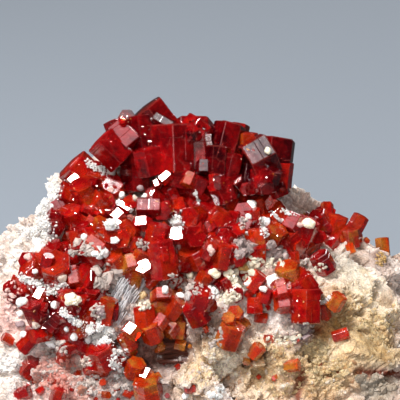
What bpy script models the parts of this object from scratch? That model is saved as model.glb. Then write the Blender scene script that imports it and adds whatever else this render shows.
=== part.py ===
"""Vanadinite on matrix: hexagonal crystals in clusters on a broken, granular rock.

The rock stands on a flat sawn base at z = 0, with its front towards -Y. Its crystals are
short six-sided prisms with flat ends. Lengths in the tables are millimetres, and become
metres when a mesh is made.

A crystal's place is given on the display plane: an upright plane through the middle of the
rock, tilted back so that it faces a viewer who stands in front and looks slightly down.
Right and up are measured on that plane. A crystal that grows on the rock is pushed back
along the viewer's sight line until it sits on the rock's surface.
"""
import math

import bmesh
import bpy
import numpy as np

MM = 0.001

# The rock, in millimetres.
ROCK_HALF_LENGTH = 32.0
ROCK_FRONT_DEPTH = 22.0
ROCK_BACK_DEPTH = 17.0
RIDGE_Y = 4.0
RIDGE_X = (-31.0, -25.0, -20.8, -19.2, -16.5, -12.0, -4.0, 4.0, 11.0, 17.5, 25.0, 31.0)
RIDGE_Z = (16.0, 21.4, 23.0, 27.2, 28.6, 29.0, 29.5, 29.0, 24.8, 21.8, 17.8, 13.0)
SECTION_POWER = 1.9
END_POWER = 6.0
HEART = np.array((0.0, RIDGE_Y, 0.0))
ROCK_COLUMNS = 50
ROCK_ROWS = 18
# The search for the rock's plain form along a ray: nearest and farthest distance, halvings.
SEARCH_NEAR = 2.0
SEARCH_FAR = 60.0
SEARCH_STEPS = 26

# Broken faces of the rock: cell size, height of the steps between cells, slope in a cell.
BROKEN_FACES = ((7.5, 0.9, 0.16, 11), (3.6, 0.5, 0.22, 12))
LUMPS = ((9.0, 1.2, 21), (4.5, 0.6, 22))

# The display plane.
VIEW_ELEVATION = math.radians(18.0)
VIEW_TARGET = np.array((0.0, 0.0, 26.7))
VIEW_DISTANCE = 260.0
SIGHT_REACH = 40.0
SIGHT_STEP = 0.125

# Pits and bosses of the rock: right and up on the display plane, reach, height.
RELIEF = (
    (-2.5, -18.6, 3.6, -2.6),
    (2.6, -5.3, 1.6, -1.2),
    (13.4, -6.6, 2.6, -1.6),
    (14.8, -16.0, 1.8, -1.2),
    (-17.4, -5.2, 1.0, -0.8),
    (-7.8, 1.6, 2.2, -1.4),
    (4.8, 1.8, 2.2, -1.4),
    (20.0, -17.0, 4.0, 1.2),
    (9.0, -19.0, 3.5, 0.8),
    (23.0, -11.0, 3.5, 0.9),
    (-23.0, -14.0, 3.0, 0.8),
)

# The gap between a crystal and the rock that it grew on.
SEAT_GAP = 0.35
# How far a seated crystal's middle stands out, as a share of its half-extent.
RISE_SHARE = 0.35
# The bevel round a crystal's ends, as a share of its width, and the width it starts from.
EDGE_BEVEL = 0.09
BEVELLED_FROM = 3.8
# A crumb that trimming leaves is dropped below this volume, in cubic millimetres.
LEAST_VOLUME = 0.25
SIDES = 6

# Finishes: name, colour, roughness.
ROCK_FINISH = ("pale_rock", (0.62, 0.52, 0.44), 0.9)
RED = ("deep_red", (0.45, 0.01, 0.01), 0.15)
ORANGE = ("orange_red", (0.60, 0.07, 0.01), 0.15)

# Faces that catch the light together turn to one of these directions on the display plane,
# which shift by so much for each millimetre that a face is off the middle.
GLINT = np.array((-0.178, 0.391, 0.904))
SHEEN = np.array((-0.058, 0.397, 0.916))
SOFT_SHEEN = np.array((-0.015, 0.4, 0.916))
MIRROR_SHIFT = np.array((-0.0029, -0.0029, 0.0))

# Crystals: right, up, rise, width across the flats, length, aim, lean, spin.
# Aim is the direction of the axis on the display plane, anticlockwise from right; lean
# tips it towards the viewer; spin turns the prism about it, in degrees or, as one of the
# directions above, until a side faces that way.
CROWN = (
    (-5.2, 9.8, 0.8, 4.4, 4.8, 128, 8, 30),
    (-3.4, 6.4, 3.0, 5.3, 6.0, 92, 0, 30),
    (-6.2, 4.9, 3.8, 3.6, 3.4, 104, 10, 20),
    (-7.0, 8.2, 2.0, 3.2, 4.8, 98, 0, 15),
    (-10.9, 6.4, 2.6, 4.0, 4.0, 135, 4, 14),
    (-9.6, 7.7, 2.3, 3.6, 3.6, 135, -19, SOFT_SHEEN),
    (-9.1, 10.0, 1.2, 2.0, 1.8, 92, 67, 0),
    (-10.5, 8.6, 0.2, 2.2, 2.8, 112, 0, 20),
    (-4.6, 9.7, 3.3, 1.5, 2.6, -30, 15, SHEEN),
    (-1.1, 7.9, 1.4, 3.7, 4.6, 52, -6, 10),
    (3.4, 7.4, 0.6, 3.6, 4.2, 76, -8, 10),
    (1.6, 7.2, -1.0, 3.0, 3.8, 85, -8, 10),
    (4.7, 8.2, -3.2, 2.4, 2.6, 80, -10, 0),
    (5.8, 7.1, 0.6, 2.4, 2.6, 88, 8, 10),
    (7.5, 5.3, 3.6, 4.6, 3.4, 28, -8, SHEEN),
    (9.2, 5.0, 1.4, 4.4, 5.4, 83, -5, 20),
    (10.1, 3.1, 2.2, 2.7, 3.2, 85, 5, 10),
    (8.2, 2.6, 3.6, 3.2, 3.2, 100, 10, 5),
    (9.7, 1.6, 2.4, 2.2, 2.4, 112, 5, 15),
    (0.55, 4.0, 4.6, 2.0, 1.7, 88, -23, SHEEN),
    (2.0, 4.4, 3.4, 3.0, 4.6, 85, 0, 10),
    (3.6, 4.1, 3.2, 2.8, 3.6, 78, 5, 30),
    (-0.4, 6.0, 2.4, 3.6, 4.4, 95, 0, 0),
    (-7.8, 3.6, 0.6, 3.8, 5.2, 94, 0, 10),
    (6.0, 3.0, 1.2, 3.8, 4.8, 80, 0, 20),
    (-2.6, 3.4, 3.6, 3.4, 3.4, 76, 8, 10),
    (-4.35, 2.8, 5.0, 1.4, 1.5, 40, -8, GLINT),
    (-5.45, 2.05, 4.6, 0.9, 1.0, 110, -24, GLINT),
    (-1.4, 2.4, 4.6, 2.0, 1.8, 68, -20, SOFT_SHEEN),
    (-0.3, 1.9, 4.0, 2.4, 2.6, 60, 15, 20),
    (2.8, 1.2, 4.2, 2.8, 2.8, 115, 15, 17),
    (-7.6, 6.0, -2.4, 5.0, 5.4, 120, -25, 10),
    (-1.0, 6.8, -2.8, 5.4, 5.8, 95, -25, 12),
    (5.6, 4.8, -2.8, 5.2, 5.4, 75, -25, 0),
    (-3.6, 3.0, -5.0, 4.6, 4.8, 110, -50, 0),
    (3.2, 2.6, -5.4, 4.6, 4.8, 75, -50, 20),
)
LEFT_CLUSTER = (
    (-14.5, 2.8, 0.6, 4.4, 4.8, 135, 10, 15),
    (-12.8, 2.8, 1.4, 3.0, 3.0, 70, 45, 0),
    (-15.55, 2.2, 2.8, 2.2, 1.4, 41, -8, GLINT),
    (-12.5, -0.4, 1.2, 2.7, 2.8, 50, 25, 20),
    (-11.7, -1.2, 1.0, 2.2, 2.2, 100, 55, 0),
    (-10.2, -2.1, 1.6, 2.1, 1.4, 45, -8, GLINT),
    (-9.5, -0.8, 1.4, 1.2, 2.0, 150, -20, GLINT),
    (-8.8, -0.6, 0.6, 1.7, 1.8, 60, 60, 0),
    (-16.2, 0.4, 0.8, 2.9, 3.2, 160, 20, 10),
    (-14.3, 0.9, 1.4, 3.0, 3.2, 110, 35, 10),
    (-10.7, 0.8, 0.6, 2.2, 2.4, 60, 15, 10),
)
LEFT_EDGE_CLUSTER = (
    (-18.0, -2.7, 1.5, 2.4, 3.0, -95, 60, 0),
    (-18.0, -1.2, 1.3, 2.6, 2.2, 30, 0, SOFT_SHEEN),
    (-15.8, -2.2, 1.2, 2.4, 2.6, 110, 35, 10),
    (-15.7, -3.4, 0.7, 2.1, 2.4, 60, 30, 0),
    (-16.6, -3.2, 0.4, 1.9, 2.2, 10, 20, 10),
)
LEFT_LOWER_CLUSTER = (
    (-12.6, -3.4, 0.4, 1.9, 2.2, 60, 30, 10),
    (-11.4, -4.5, 0.6, 1.9, 2.2, 110, 30, 0),
    (-9.4, -3.8, 0.6, 1.9, 2.2, 40, 20, 10),
    (-8.6, -5.0, 0.4, 1.9, 2.2, 130, 20, 0),
)
MID_LEFT_CLUSTER = (
    (-10.2, -7.7, 0.6, 2.4, 2.6, 125, 35, 10),
    (-8.6, -7.9, 0.9, 2.2, 1.9, 105, -23, SHEEN),
    (-8.4, -9.4, 0.6, 2.4, 2.6, 80, 30, 20),
    (-11.0, -8.7, 0.2, 1.8, 2.0, 150, 30, 0),
    (-6.9, -8.5, 1.4, 1.9, 1.9, 114, 65, 10),
    (-7.6, -7.2, 0.2, 1.9, 2.2, 60, 20, 25),
)
MIDDLE_CLUSTER = (
    (-4.6, -7.4, 1.2, 3.4, 4.6, 98, 8, 25),
    (-5.3, -4.4, 0.8, 2.6, 2.6, 80, 15, 10),
    (-6.4, -1.1, 1.2, 2.6, 2.9, 0, 4, SHEEN),
    (-4.2, -1.3, 0.8, 1.8, 2.2, 104, 0, 10),
    (-7.2, -3.0, 1.1, 2.4, 1.3, 92, -23, GLINT),
    (-2.8, -4.7, 1.5, 2.8, 1.8, 97, -22, GLINT),
    (-0.5, -4.5, 0.9, 2.7, 2.8, 122, 38, 10),
    (-3.5, 0.8, 0.6, 2.2, 2.4, 115, 25, 10),
    (-5.6, 0.4, 0.4, 2.0, 2.2, 140, 25, 15),
    (-0.9, -0.9, 0.8, 2.2, 2.4, 130, 25, 10),
    (0.0, 0.3, 0.6, 2.0, 2.4, 45, 20, 20),
    (0.3, -1.7, 1.1, 2.8, 2.8, 70, 28, 15),
    (1.5, -0.1, 0.9, 2.2, 2.2, 100, -23, SOFT_SHEEN),
    (3.6, -0.7, 0.6, 2.2, 2.6, 75, 8, 20),
    (2.1, -2.4, 0.8, 2.3, 2.6, 50, 20, 0),
)
CENTRE_CLUSTER = (
    (-0.2, -7.3, 0.4, 2.3, 2.4, 115, 20, 10),
    (2.9, -7.1, 0.8, 2.0, 2.9, 78, 15, 15),
    (1.3, -6.3, 0.4, 1.9, 2.2, 60, 20, 0),
    (-2.0, -7.2, 0.2, 2.0, 2.4, 80, 10, 20),
)
LOWER_CENTRE_CLUSTER = (
    (0.4, -10.2, 0.6, 1.9, 2.2, 60, 20, 15),
    (3.2, -10.4, 0.6, 1.8, 2.0, 115, 28, 5),
)
RIGHT_CLUSTER = (
    (9.6, -2.2, 0.8, 3.0, 2.8, 130, 20, 10),
    (11.4, -3.0, 1.6, 2.6, 2.2, 60, -19, SOFT_SHEEN),
    (12.9, -3.9, 0.6, 3.2, 3.2, 70, 20, 10),
    (11.4, -4.9, 0.8, 2.8, 2.8, 120, 35, 15),
    (9.2, -4.6, 0.6, 2.6, 2.8, 60, 35, 10),
    (7.0, -1.0, 0.6, 2.4, 2.6, 100, 15, 15),
    (8.6, -0.6, 0.2, 2.2, 2.4, 50, 5, 0),
    (7.2, -5.4, 0.6, 2.2, 3.4, 88, 12, 10),
)
FAR_RIGHT_CLUSTER = (
    (15.0, -2.9, 0.6, 2.6, 2.8, 120, 20, 10),
    (16.9, -3.3, 0.8, 2.6, 2.8, 75, 12, 20),
    (15.4, -4.9, 0.6, 2.5, 2.6, 50, 30, 5),
    (17.4, -5.2, 0.5, 2.3, 2.4, 120, 25, 15),
    (19.6, -3.1, 0.8, 1.9, 2.6, 62, 12, 0),
    (18.9, -4.6, 0.4, 2.3, 2.4, 100, 20, 10),
)
LOWER_RIGHT_CLUSTER = (
    (13.2, -13.2, 1.4, 3.6, 4.2, 90, 2, 30),
    (13.1, -11.35, 1.4, 3.4, 3.0, 127, 6, 30),
    (11.0, -9.3, 0.8, 2.8, 2.6, 100, 30, 10),
    (12.6, -9.9, 0.8, 2.0, 2.6, 55, 10, 10),
    (10.2, -11.2, 1.3, 2.1, 2.0, 104, -23, SHEEN),
    (10.5, -12.9, 2.1, 2.3, 1.9, 96, -23, SHEEN),
    (11.4, -12.0, 0.4, 2.4, 3.0, 70, 0, 10),
)
LOWER_BOX_CLUSTER = (
    (7.0, -10.2, 1.0, 2.0, 2.4, 52, 10, 10),
    (6.8, -13.2, 0.8, 1.9, 1.9, 90, 0, 30),
    (8.3, -11.9, 0.2, 1.5, 1.9, 70, 15, 0),
)
ORANGE_CLUSTER = (
    (3.8, -16.9, 0.8, 2.9, 2.9, 70, 20, 20),
    (4.4, -14.6, 0.9, 1.8, 2.2, 95, 55, 0),
    (3.6, -15.2, 1.0, 1.6, 2.0, 95, 55, 10),
    (5.0, -15.9, 0.4, 1.7, 2.2, 50, 20, 10),
)
LOWER_LEFT_CLUSTER = (
    (-17.9, -8.9, 1.0, 3.6, 3.4, 96, 50, 30),
    (-21.0, -9.2, 0.6, 2.4, 2.4, 125, 25, 10),
    (-14.2, -10.2, 0.8, 3.0, 3.8, 58, 18, 15),
    (-15.9, -9.7, 1.0, 2.2, 2.4, 102, -23, SHEEN),
    (-21.4, -11.2, 0.4, 2.0, 2.0, 150, 30, 10),
    (-20.0, -11.9, 1.5, 1.7, 1.6, 62, -12, GLINT),
    (-20.4, -13.8, 1.0, 2.9, 3.0, 112, 30, 10),
    (-18.0, -14.7, 1.2, 2.8, 2.6, 50, 35, 0),
    (-19.0, -12.6, 0.8, 2.0, 2.2, 120, 25, 20),
    (-16.2, -13.4, 1.0, 3.2, 3.2, 75, 35, 15),
    (-14.4, -15.4, 0.8, 2.7, 2.8, 40, 30, 10),
    (-16.8, -15.8, 0.4, 2.2, 2.4, 110, 35, 0),
    (-13.4, -11.7, 1.4, 1.6, 2.0, 80, 55, 0),
    (-13.9, -13.3, 0.6, 2.4, 2.6, 120, 25, 20),
)
LOWER_LEFT_ORANGE = (
    (-11.6, -13.9, 0.4, 2.0, 3.2, 78, 10, 15),
)
LEANING_PRISM = (
    (-21.3, -17.6, 0.5, 1.9, 3.0, 46, 14, 20),
)
BOTTOM_LEFT_CLUSTER = (
    (-12.0, -19.4, 0.8, 3.0, 3.0, 115, 32, 10),
    (-12.9, -20.9, 0.6, 2.0, 2.8, 168, 20, 10),
    (-15.0, -18.2, 0.4, 2.0, 2.8, 150, 20, 0),
    (-13.6, -19.3, 0.2, 2.2, 2.4, 70, 20, 20),
)
LOWER_MIDDLE_CLUSTER = (
    (-4.6, -12.1, 1.5, 3.0, 1.5, 92, -23, SHEEN),
    (-4.8, -13.4, 0.8, 2.6, 2.0, 80, 12, 10),
    (-3.1, -13.4, 0.8, 2.4, 2.6, 55, 20, 20),
    (-6.9, -14.6, 0.9, 2.5, 2.6, 97, 2, -25),
    (-5.0, -15.3, 1.7, 1.8, 1.6, 55, -18, SHEEN),
    (-3.7, -16.2, 1.5, 1.9, 1.7, 55, -18, SHEEN),
    (-2.6, -16.1, 0.8, 1.9, 2.2, 80, 10, 10),
    (-6.1, -16.5, 0.6, 2.3, 2.4, 110, 28, 0),
)
DARK_MIDDLE_CLUSTER = (
    (0.1, -12.5, 0.8, 2.8, 2.6, 70, 25, 10),
    (-0.4, -14.2, 0.6, 2.5, 2.6, 120, 20, 20),
)
WHITE_TIPPED_CLUSTER = (
    (-8.6, -16.4, 1.2, 2.2, 1.4, 52, -11, GLINT),
    (-9.0, -17.6, 0.6, 2.0, 2.2, 120, 20, 15),
)
BOTTOM_CLUSTER = (
    (-8.2, -21.1, 0.6, 2.1, 2.2, 70, 38, 10),
    (-6.8, -21.8, 1.0, 1.6, 1.4, 60, -14, GLINT),
    (-6.5, -23.7, 0.7, 3.2, 3.0, 100, 30, 15),
)
SCATTERED = (
    (7.0, -18.9, 0.0, 1.6, 1.8, 50, 20, 0),
    (17.6, -16.9, 0.0, 1.4, 2.0, 20, 10, 0),
    (11.5, -20.7, 0.0, 1.3, 1.9, 10, 20, 0),
    (17.0, -12.7, 0.3, 1.8, 2.0, 60, 20, 0),
    (15.3, -14.0, 0.2, 1.6, 2.0, 110, 20, 0),
    (22.8, -5.9, 0.8, 1.7, 2.4, 95, 0, 20),
    (15.4, -7.8, 0.3, 2.4, 2.6, 120, 20, 10),
    (-21.0, -20.9, 0.1, 2.4, 2.4, 50, 35, 10),
    (-22.1, -24.2, -0.3, 1.5, 1.8, 20, 20, 0),
    (-17.7, -24.4, 0.0, 1.7, 2.0, 70, 20, 0),
    (-17.0, -19.4, 0.0, 1.6, 2.0, 60, 30, 0),
    (-24.0, -17.4, -0.3, 1.2, 1.5, 150, 20, 0),
)
# Seen from behind the rock.
BACK_CLUSTER = (
    (-3.0, 0.5, 0.6, 3.0, 3.2, 100, 20, 10),
    (0.2, -0.8, 0.6, 3.4, 3.4, 70, 25, 0),
    (-1.6, -2.6, 0.6, 2.6, 2.8, 120, 30, 20),
    (2.6, 0.8, 0.4, 2.6, 3.0, 50, 15, 15),
)
BACK_SCATTERED = (
    (-9.0, -4.0, 0.3, 2.4, 2.6, 60, 30, 0),
    (8.5, -5.5, 0.3, 2.6, 2.8, 120, 25, 10),
    (14.0, -9.0, 0.3, 2.2, 2.4, 30, 20, 20),
    (-14.0, -11.5, 0.3, 2.6, 2.8, 130, 20, 10),
)

# Each area: its name, its crystals, whether they sit on the rock, how far the display plane
# is turned about the upright for it, and its finish.
AREAS = (
    ("crown_cluster", CROWN, False, 0, RED),
    ("left_cluster", LEFT_CLUSTER, True, 0, RED),
    ("left_edge_cluster", LEFT_EDGE_CLUSTER, True, 0, RED),
    ("left_lower_cluster", LEFT_LOWER_CLUSTER, True, 0, ORANGE),
    ("mid_left_cluster", MID_LEFT_CLUSTER, True, 0, ORANGE),
    ("middle_cluster", MIDDLE_CLUSTER, True, 0, RED),
    ("centre_cluster", CENTRE_CLUSTER, True, 0, RED),
    ("lower_centre_cluster", LOWER_CENTRE_CLUSTER, True, 0, ORANGE),
    ("right_cluster", RIGHT_CLUSTER, True, 0, RED),
    ("far_right_cluster", FAR_RIGHT_CLUSTER, True, 0, RED),
    ("lower_right_cluster", LOWER_RIGHT_CLUSTER, True, 0, RED),
    ("lower_box_cluster", LOWER_BOX_CLUSTER, True, 0, RED),
    ("orange_cluster", ORANGE_CLUSTER, True, 0, ORANGE),
    ("lower_left_cluster", LOWER_LEFT_CLUSTER, True, 0, RED),
    ("lower_left_orange", LOWER_LEFT_ORANGE, True, 0, ORANGE),
    ("leaning_prism", LEANING_PRISM, True, 0, RED),
    ("bottom_left_cluster", BOTTOM_LEFT_CLUSTER, True, 0, RED),
    ("lower_middle_cluster", LOWER_MIDDLE_CLUSTER, True, 0, ORANGE),
    ("dark_middle_cluster", DARK_MIDDLE_CLUSTER, True, 0, RED),
    ("white_tipped_cluster", WHITE_TIPPED_CLUSTER, True, 0, RED),
    ("bottom_cluster", BOTTOM_CLUSTER, True, 0, ORANGE),
    ("scattered_crystal", SCATTERED, True, 0, ORANGE),
    ("back_cluster", BACK_CLUSTER, True, 180, RED),
    ("back_crystal", BACK_SCATTERED, True, 180, RED),
)


def lattice_random(cells, seed, channels):
    """Numbers in 0..1 for whole-numbered cells: the same cell and seed give the same ones."""
    mask = 0xFFFFFFFF
    mixed = cells[..., 0] * 73856093 ^ cells[..., 1] * 19349663 ^ cells[..., 2] * 83492791
    mixed = (mixed ^ seed * 668265263) & mask
    numbers = []
    for _ in range(channels):
        mixed = ((mixed ^ mixed >> 15) * 2246822519) & mask
        mixed = ((mixed ^ mixed >> 13) * 3266489917 + 1442695041) & mask
        numbers.append((mixed ^ mixed >> 16) / mask)
    return np.stack(numbers, axis=-1)


def smooth_noise(points, size, seed):
    """Noise from -1 to 1 that runs smoothly between random values on a lattice."""
    scaled = points / size
    corner = np.floor(scaled).astype(np.int64)
    part = scaled - corner
    part = part * part * (3.0 - 2.0 * part)
    total = np.zeros(points.shape[:-1])
    for step in np.ndindex(2, 2, 2):
        offset = np.array(step)
        weight = np.prod(np.where(offset == 1, part, 1.0 - part), axis=-1)
        total += weight * lattice_random(corner + offset, seed, 1)[..., 0]
    return total * 2.0 - 1.0


def broken_faces(points, size, step, slope, seed):
    """Heights of flat faces that meet at edges: each point follows its nearest cell's plane."""
    scaled = points / size
    corner = np.floor(scaled).astype(np.int64)
    nearest = np.full(points.shape[:-1], np.inf)
    height = np.zeros(points.shape[:-1])
    for offset in np.ndindex(3, 3, 3):
        cell = corner + np.array(offset) - 1
        chance = lattice_random(cell, seed, 7)
        away = scaled - cell - chance[..., 0:3]
        distance = np.sum(away * away, axis=-1)
        plane = np.sum(away * (chance[..., 3:6] * 2.0 - 1.0), axis=-1) * size * slope * 2.0
        plane += (chance[..., 6] * 2.0 - 1.0) * step
        closer = distance < nearest
        height = np.where(closer, plane, height)
        nearest = np.where(closer, distance, nearest)
    return height


def plain_radius(directions):
    """Distance from the heart to the rock's plain form, an arched ridge, by halving."""
    near = np.full(directions.shape[:-1], SEARCH_NEAR)
    far = np.full(directions.shape[:-1], SEARCH_FAR)
    for _ in range(SEARCH_STEPS):
        middle = (near + far) / 2.0
        point = HEART + directions * middle[..., None]
        ridge = np.interp(point[..., 0], RIDGE_X, RIDGE_Z)
        across = point[..., 1] - RIDGE_Y
        depth = np.where(across < 0.0, ROCK_FRONT_DEPTH, ROCK_BACK_DEPTH)
        measure = (np.abs(point[..., 2]) / ridge) ** SECTION_POWER
        measure += (np.abs(across) / depth) ** SECTION_POWER
        measure += (np.abs(point[..., 0]) / ROCK_HALF_LENGTH) ** END_POWER
        near = np.where(measure < 1.0, middle, near)
        far = np.where(measure < 1.0, far, middle)
    return near


def display_plane(turn):
    """The plane's right, up and towards-the-viewer directions, turned about the upright."""
    turn = math.radians(turn)
    rise = VIEW_ELEVATION
    right = (math.cos(turn), math.sin(turn), 0.0)
    out = (math.sin(turn), -math.cos(turn))
    up = (-out[0] * math.sin(rise), -out[1] * math.sin(rise), math.cos(rise))
    near = (out[0] * math.cos(rise), out[1] * math.cos(rise), math.sin(rise))
    return np.array((right, up, near))


def display_point(plane, right, up, near):
    """The point on the sight line through (right, up) that is near millimetres closer."""
    share = 1.0 - np.asarray(near) / VIEW_DISTANCE
    across = np.stack((right * share, up * share, near * np.ones_like(share)), axis=-1)
    return VIEW_TARGET + across @ plane


def seat(plane, right, up, radius_of):
    """How near the rock is where the sight line through (right, up) first meets it.

    A line that passes over the rock gives the place where it comes closest to it.
    """
    nears = np.arange(SIGHT_REACH, -SIGHT_REACH, -SIGHT_STEP)
    ray = display_point(plane, right, up, nears) - HEART
    distance = np.linalg.norm(ray, axis=1)
    above = distance - radius_of(ray / distance[:, None])
    above = np.where(ray[:, 2] > 0.0, above, np.inf)
    if above.min() < 0.0:
        return nears[np.argmax(above < 0.0)]
    return nears[np.argmin(above)]


def relief_centres():
    """Where each pit or boss lies on the plain form, seen from the front."""
    front = display_plane(0)
    places = [(right, up, seat(front, right, up, plain_radius)) for right, up, _, _ in RELIEF]
    return [display_point(front, *place) for place in places]


RELIEF_CENTRES = relief_centres()


def rock_radius(directions):
    """Distance from the heart to the rock's real surface: form, broken faces, lumps, pits."""
    radius = plain_radius(directions)
    points = HEART + directions * radius[..., None]
    for size, step, slope, seed in BROKEN_FACES:
        radius = radius + broken_faces(points, size, step, slope, seed)
    for size, height, seed in LUMPS:
        radius = radius + height * smooth_noise(points, size, seed)
    for centre, (_, _, reach, height) in zip(RELIEF_CENTRES, RELIEF):
        away = np.sum((points - centre) ** 2, axis=-1)
        radius = radius + height * np.exp(-away / (2.0 * (reach / 2.0) ** 2))
    return radius


def rock_mesh(name, grow):
    """A dome of rows and columns about the heart, closed at its pole and by its flat base."""
    azimuth = np.arange(ROCK_COLUMNS) / ROCK_COLUMNS * 2.0 * math.pi
    height = np.arange(ROCK_ROWS) / ROCK_ROWS * math.pi / 2.0
    azimuth, height = np.meshgrid(azimuth, height)
    level = np.cos(height)
    directions = np.stack((np.cos(azimuth) * level, np.sin(azimuth) * level, np.sin(height)), -1)
    radius = rock_radius(directions) + grow
    ring = HEART + directions * radius[..., None]
    ring[0, :, 2] = -grow
    pole = HEART + np.array((0.0, 0.0, 1.0)) * (rock_radius(np.array([[0.0, 0.0, 1.0]]))[0] + grow)
    points = np.vstack((ring.reshape(-1, 3), pole)) * MM
    faces = []
    for row in range(ROCK_ROWS - 1):
        for column in range(ROCK_COLUMNS):
            after = (column + 1) % ROCK_COLUMNS
            low, high = row * ROCK_COLUMNS, (row + 1) * ROCK_COLUMNS
            faces.append((low + column, low + after, high + after))
            faces.append((low + column, high + after, high + column))
    top = (ROCK_ROWS - 1) * ROCK_COLUMNS
    for column in range(ROCK_COLUMNS):
        faces.append((top + column, top + (column + 1) % ROCK_COLUMNS, len(points) - 1))
    faces.append(tuple(reversed(range(ROCK_COLUMNS))))
    mesh = bpy.data.meshes.new(name)
    mesh.from_pydata(points.tolist(), [], faces)
    return mesh


def crystal_axes(plane, right, up, aim, lean, spin):
    """The crystal's axis and the normal of its turned side face, in world directions.

    A spin that is a direction n turns a side that way, so the lean becomes the one that sets
    the axis square to n: -atan((n.right cos aim + n.up sin aim) / n.near).
    """
    aim, lean = math.radians(aim), math.radians(lean)
    mirrors = isinstance(spin, np.ndarray)
    if mirrors:
        spin = spin + MIRROR_SHIFT * (right, up, 0.0)
        lean = -math.atan((spin[0] * math.cos(aim) + spin[1] * math.sin(aim)) / spin[2])
    axis = np.array((math.cos(lean) * math.cos(aim), math.cos(lean) * math.sin(aim), math.sin(lean)))
    facing = np.array((0.0, 0.0, 1.0)) - axis[2] * axis
    facing /= np.linalg.norm(facing)
    across = np.cross(axis, facing)
    if mirrors:
        turn = math.atan2(across @ spin, facing @ spin)
    else:
        turn = math.radians(spin)
    side = facing * math.cos(turn) + across * math.sin(turn)
    return axis @ plane, side @ plane


def crystal_points(centre, width, length, axis, side):
    """Rings of a six-sided prism, its two ends bevelled on a crystal that is big enough."""
    if width >= BEVELLED_FROM:
        bevel = EDGE_BEVEL * width
        rings = ((-length / 2.0, 1.0 - EDGE_BEVEL * 2.0), (-length / 2.0 + bevel, 1.0),
                 (length / 2.0 - bevel, 1.0), (length / 2.0, 1.0 - EDGE_BEVEL * 2.0))
    else:
        rings = ((-length / 2.0, 1.0), (length / 2.0, 1.0))
    corner = width / math.sqrt(3.0)
    across = np.cross(axis, side)
    points = []
    for along, share in rings:
        for index in range(SIDES):
            angle = (index + 0.5) / SIDES * 2.0 * math.pi
            spoke = side * math.cos(angle) + across * math.sin(angle)
            points.append(centre + axis * along + spoke * corner * share)
    faces = [tuple(reversed(range(SIDES)))]
    for ring in range(len(rings) - 1):
        for index in range(SIDES):
            after = (index + 1) % SIDES
            low, high = ring * SIDES, (ring + 1) * SIDES
            faces.append((low + index, low + after, high + after, high + index))
    faces.append(tuple(range(len(points) - SIDES, len(points))))
    return points, faces


def crystal_centre(plane, row, seated, axis):
    """The middle of a crystal: at its stated depth, or standing out of the rock it sits on."""
    right, up, rise, width, length = row[:5]
    if not seated:
        return display_point(plane, right, up, rise)
    facing = abs(axis @ plane[2])
    reach = facing * length / 2.0 + math.sqrt(1.0 - facing * facing) * width / 2.0
    near = seat(plane, right, up, rock_radius) + RISE_SHARE * reach + rise
    return display_point(plane, right, up, near)


def crystal_mesh(name, rows, seated, turn, grow):
    """All the crystals of one area as closed prisms in one mesh, each grown by a margin."""
    plane = display_plane(turn)
    points = []
    faces = []
    for row in rows:
        axis, side = crystal_axes(plane, *row[:2], *row[5:])
        centre = crystal_centre(plane, row, seated, axis)
        width, length = row[3] + 2.0 * grow, row[4] + 2.0 * grow
        ring_points, ring_faces = crystal_points(centre, width, length, axis, side)
        first = len(points)
        points.extend(ring_points)
        faces.extend(tuple(first + index for index in face) for face in ring_faces)
    mesh = bpy.data.meshes.new(name)
    mesh.from_pydata((np.array(points) * MM).tolist(), [], faces)
    return mesh


def material(node, finish):
    """A Principled material of one colour for one node."""
    name, colour, roughness = finish
    made = bpy.data.materials.new(node + "_" + name)
    made.use_nodes = True
    made.diffuse_color = (*colour, 1.0)
    shader = made.node_tree.nodes["Principled BSDF"]
    shader.inputs["Base Color"].default_value = (*colour, 1.0)
    shader.inputs["Roughness"].default_value = roughness
    return made


def place(name, mesh, finish):
    """Put a mesh into the scene as one named object with its own material."""
    mesh.materials.append(material(name, finish))
    thing = bpy.data.objects.new(name, mesh)
    bpy.context.collection.objects.link(thing)
    return thing


def separate_bodies(mesh):
    """Split a mesh into its closed bodies, as (volume in cubic mm, bmesh) pairs."""
    whole = bmesh.new()
    whole.from_mesh(mesh)
    whole.faces.ensure_lookup_table()
    left = set(whole.faces)
    bodies = []
    while left:
        start = left.pop()
        island = [start]
        for face in island:
            for edge in face.edges:
                for neighbour in edge.link_faces:
                    if neighbour in left:
                        left.remove(neighbour)
                        island.append(neighbour)
        body = bmesh.new()
        copies = {}
        for face in island:
            for vertex in face.verts:
                if vertex not in copies:
                    copies[vertex] = body.verts.new(vertex.co)
            body.faces.new([copies[vertex] for vertex in face.verts])
        bodies.append((body.calc_volume(signed=True) / MM ** 3, body))
    whole.free()
    return bodies


def reach_of(mesh):
    """The lowest and highest corner of a mesh's box."""
    points = np.array([vertex.co[:] for vertex in mesh.vertices])
    return points.min(axis=0), points.max(axis=0)


def grown_together(name, mesh, cutters):
    """Unite an area's crystals and cut them clear of the cutters that they reach."""
    low, high = reach_of(mesh)
    near = bpy.data.collections.new(name + "_cutters")
    for cutter in cutters:
        cutter_low, cutter_high = reach_of(cutter.data)
        if np.all(low < cutter_high) and np.all(cutter_low < high):
            near.objects.link(cutter)
    thing = bpy.data.objects.new(name + "_draft", mesh)
    bpy.context.collection.objects.link(thing)
    cut = thing.modifiers.new("clear", "BOOLEAN")
    cut.operation = "DIFFERENCE"
    cut.solver = "EXACT"
    cut.use_self = True
    cut.operand_type = "COLLECTION"
    cut.collection = near
    graph = bpy.context.evaluated_depsgraph_get()
    united = bpy.data.meshes.new_from_object(thing.evaluated_get(graph))
    bpy.data.objects.remove(thing)
    bpy.data.collections.remove(near)
    return [(volume, body) for volume, body in separate_bodies(united) if volume > LEAST_VOLUME]


def cutter_of(name, mesh):
    """A hidden object that cuts others."""
    thing = bpy.data.objects.new(name, mesh)
    bpy.context.collection.objects.link(thing)
    thing.hide_render = True
    thing.display_type = "WIRE"
    return thing


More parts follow.
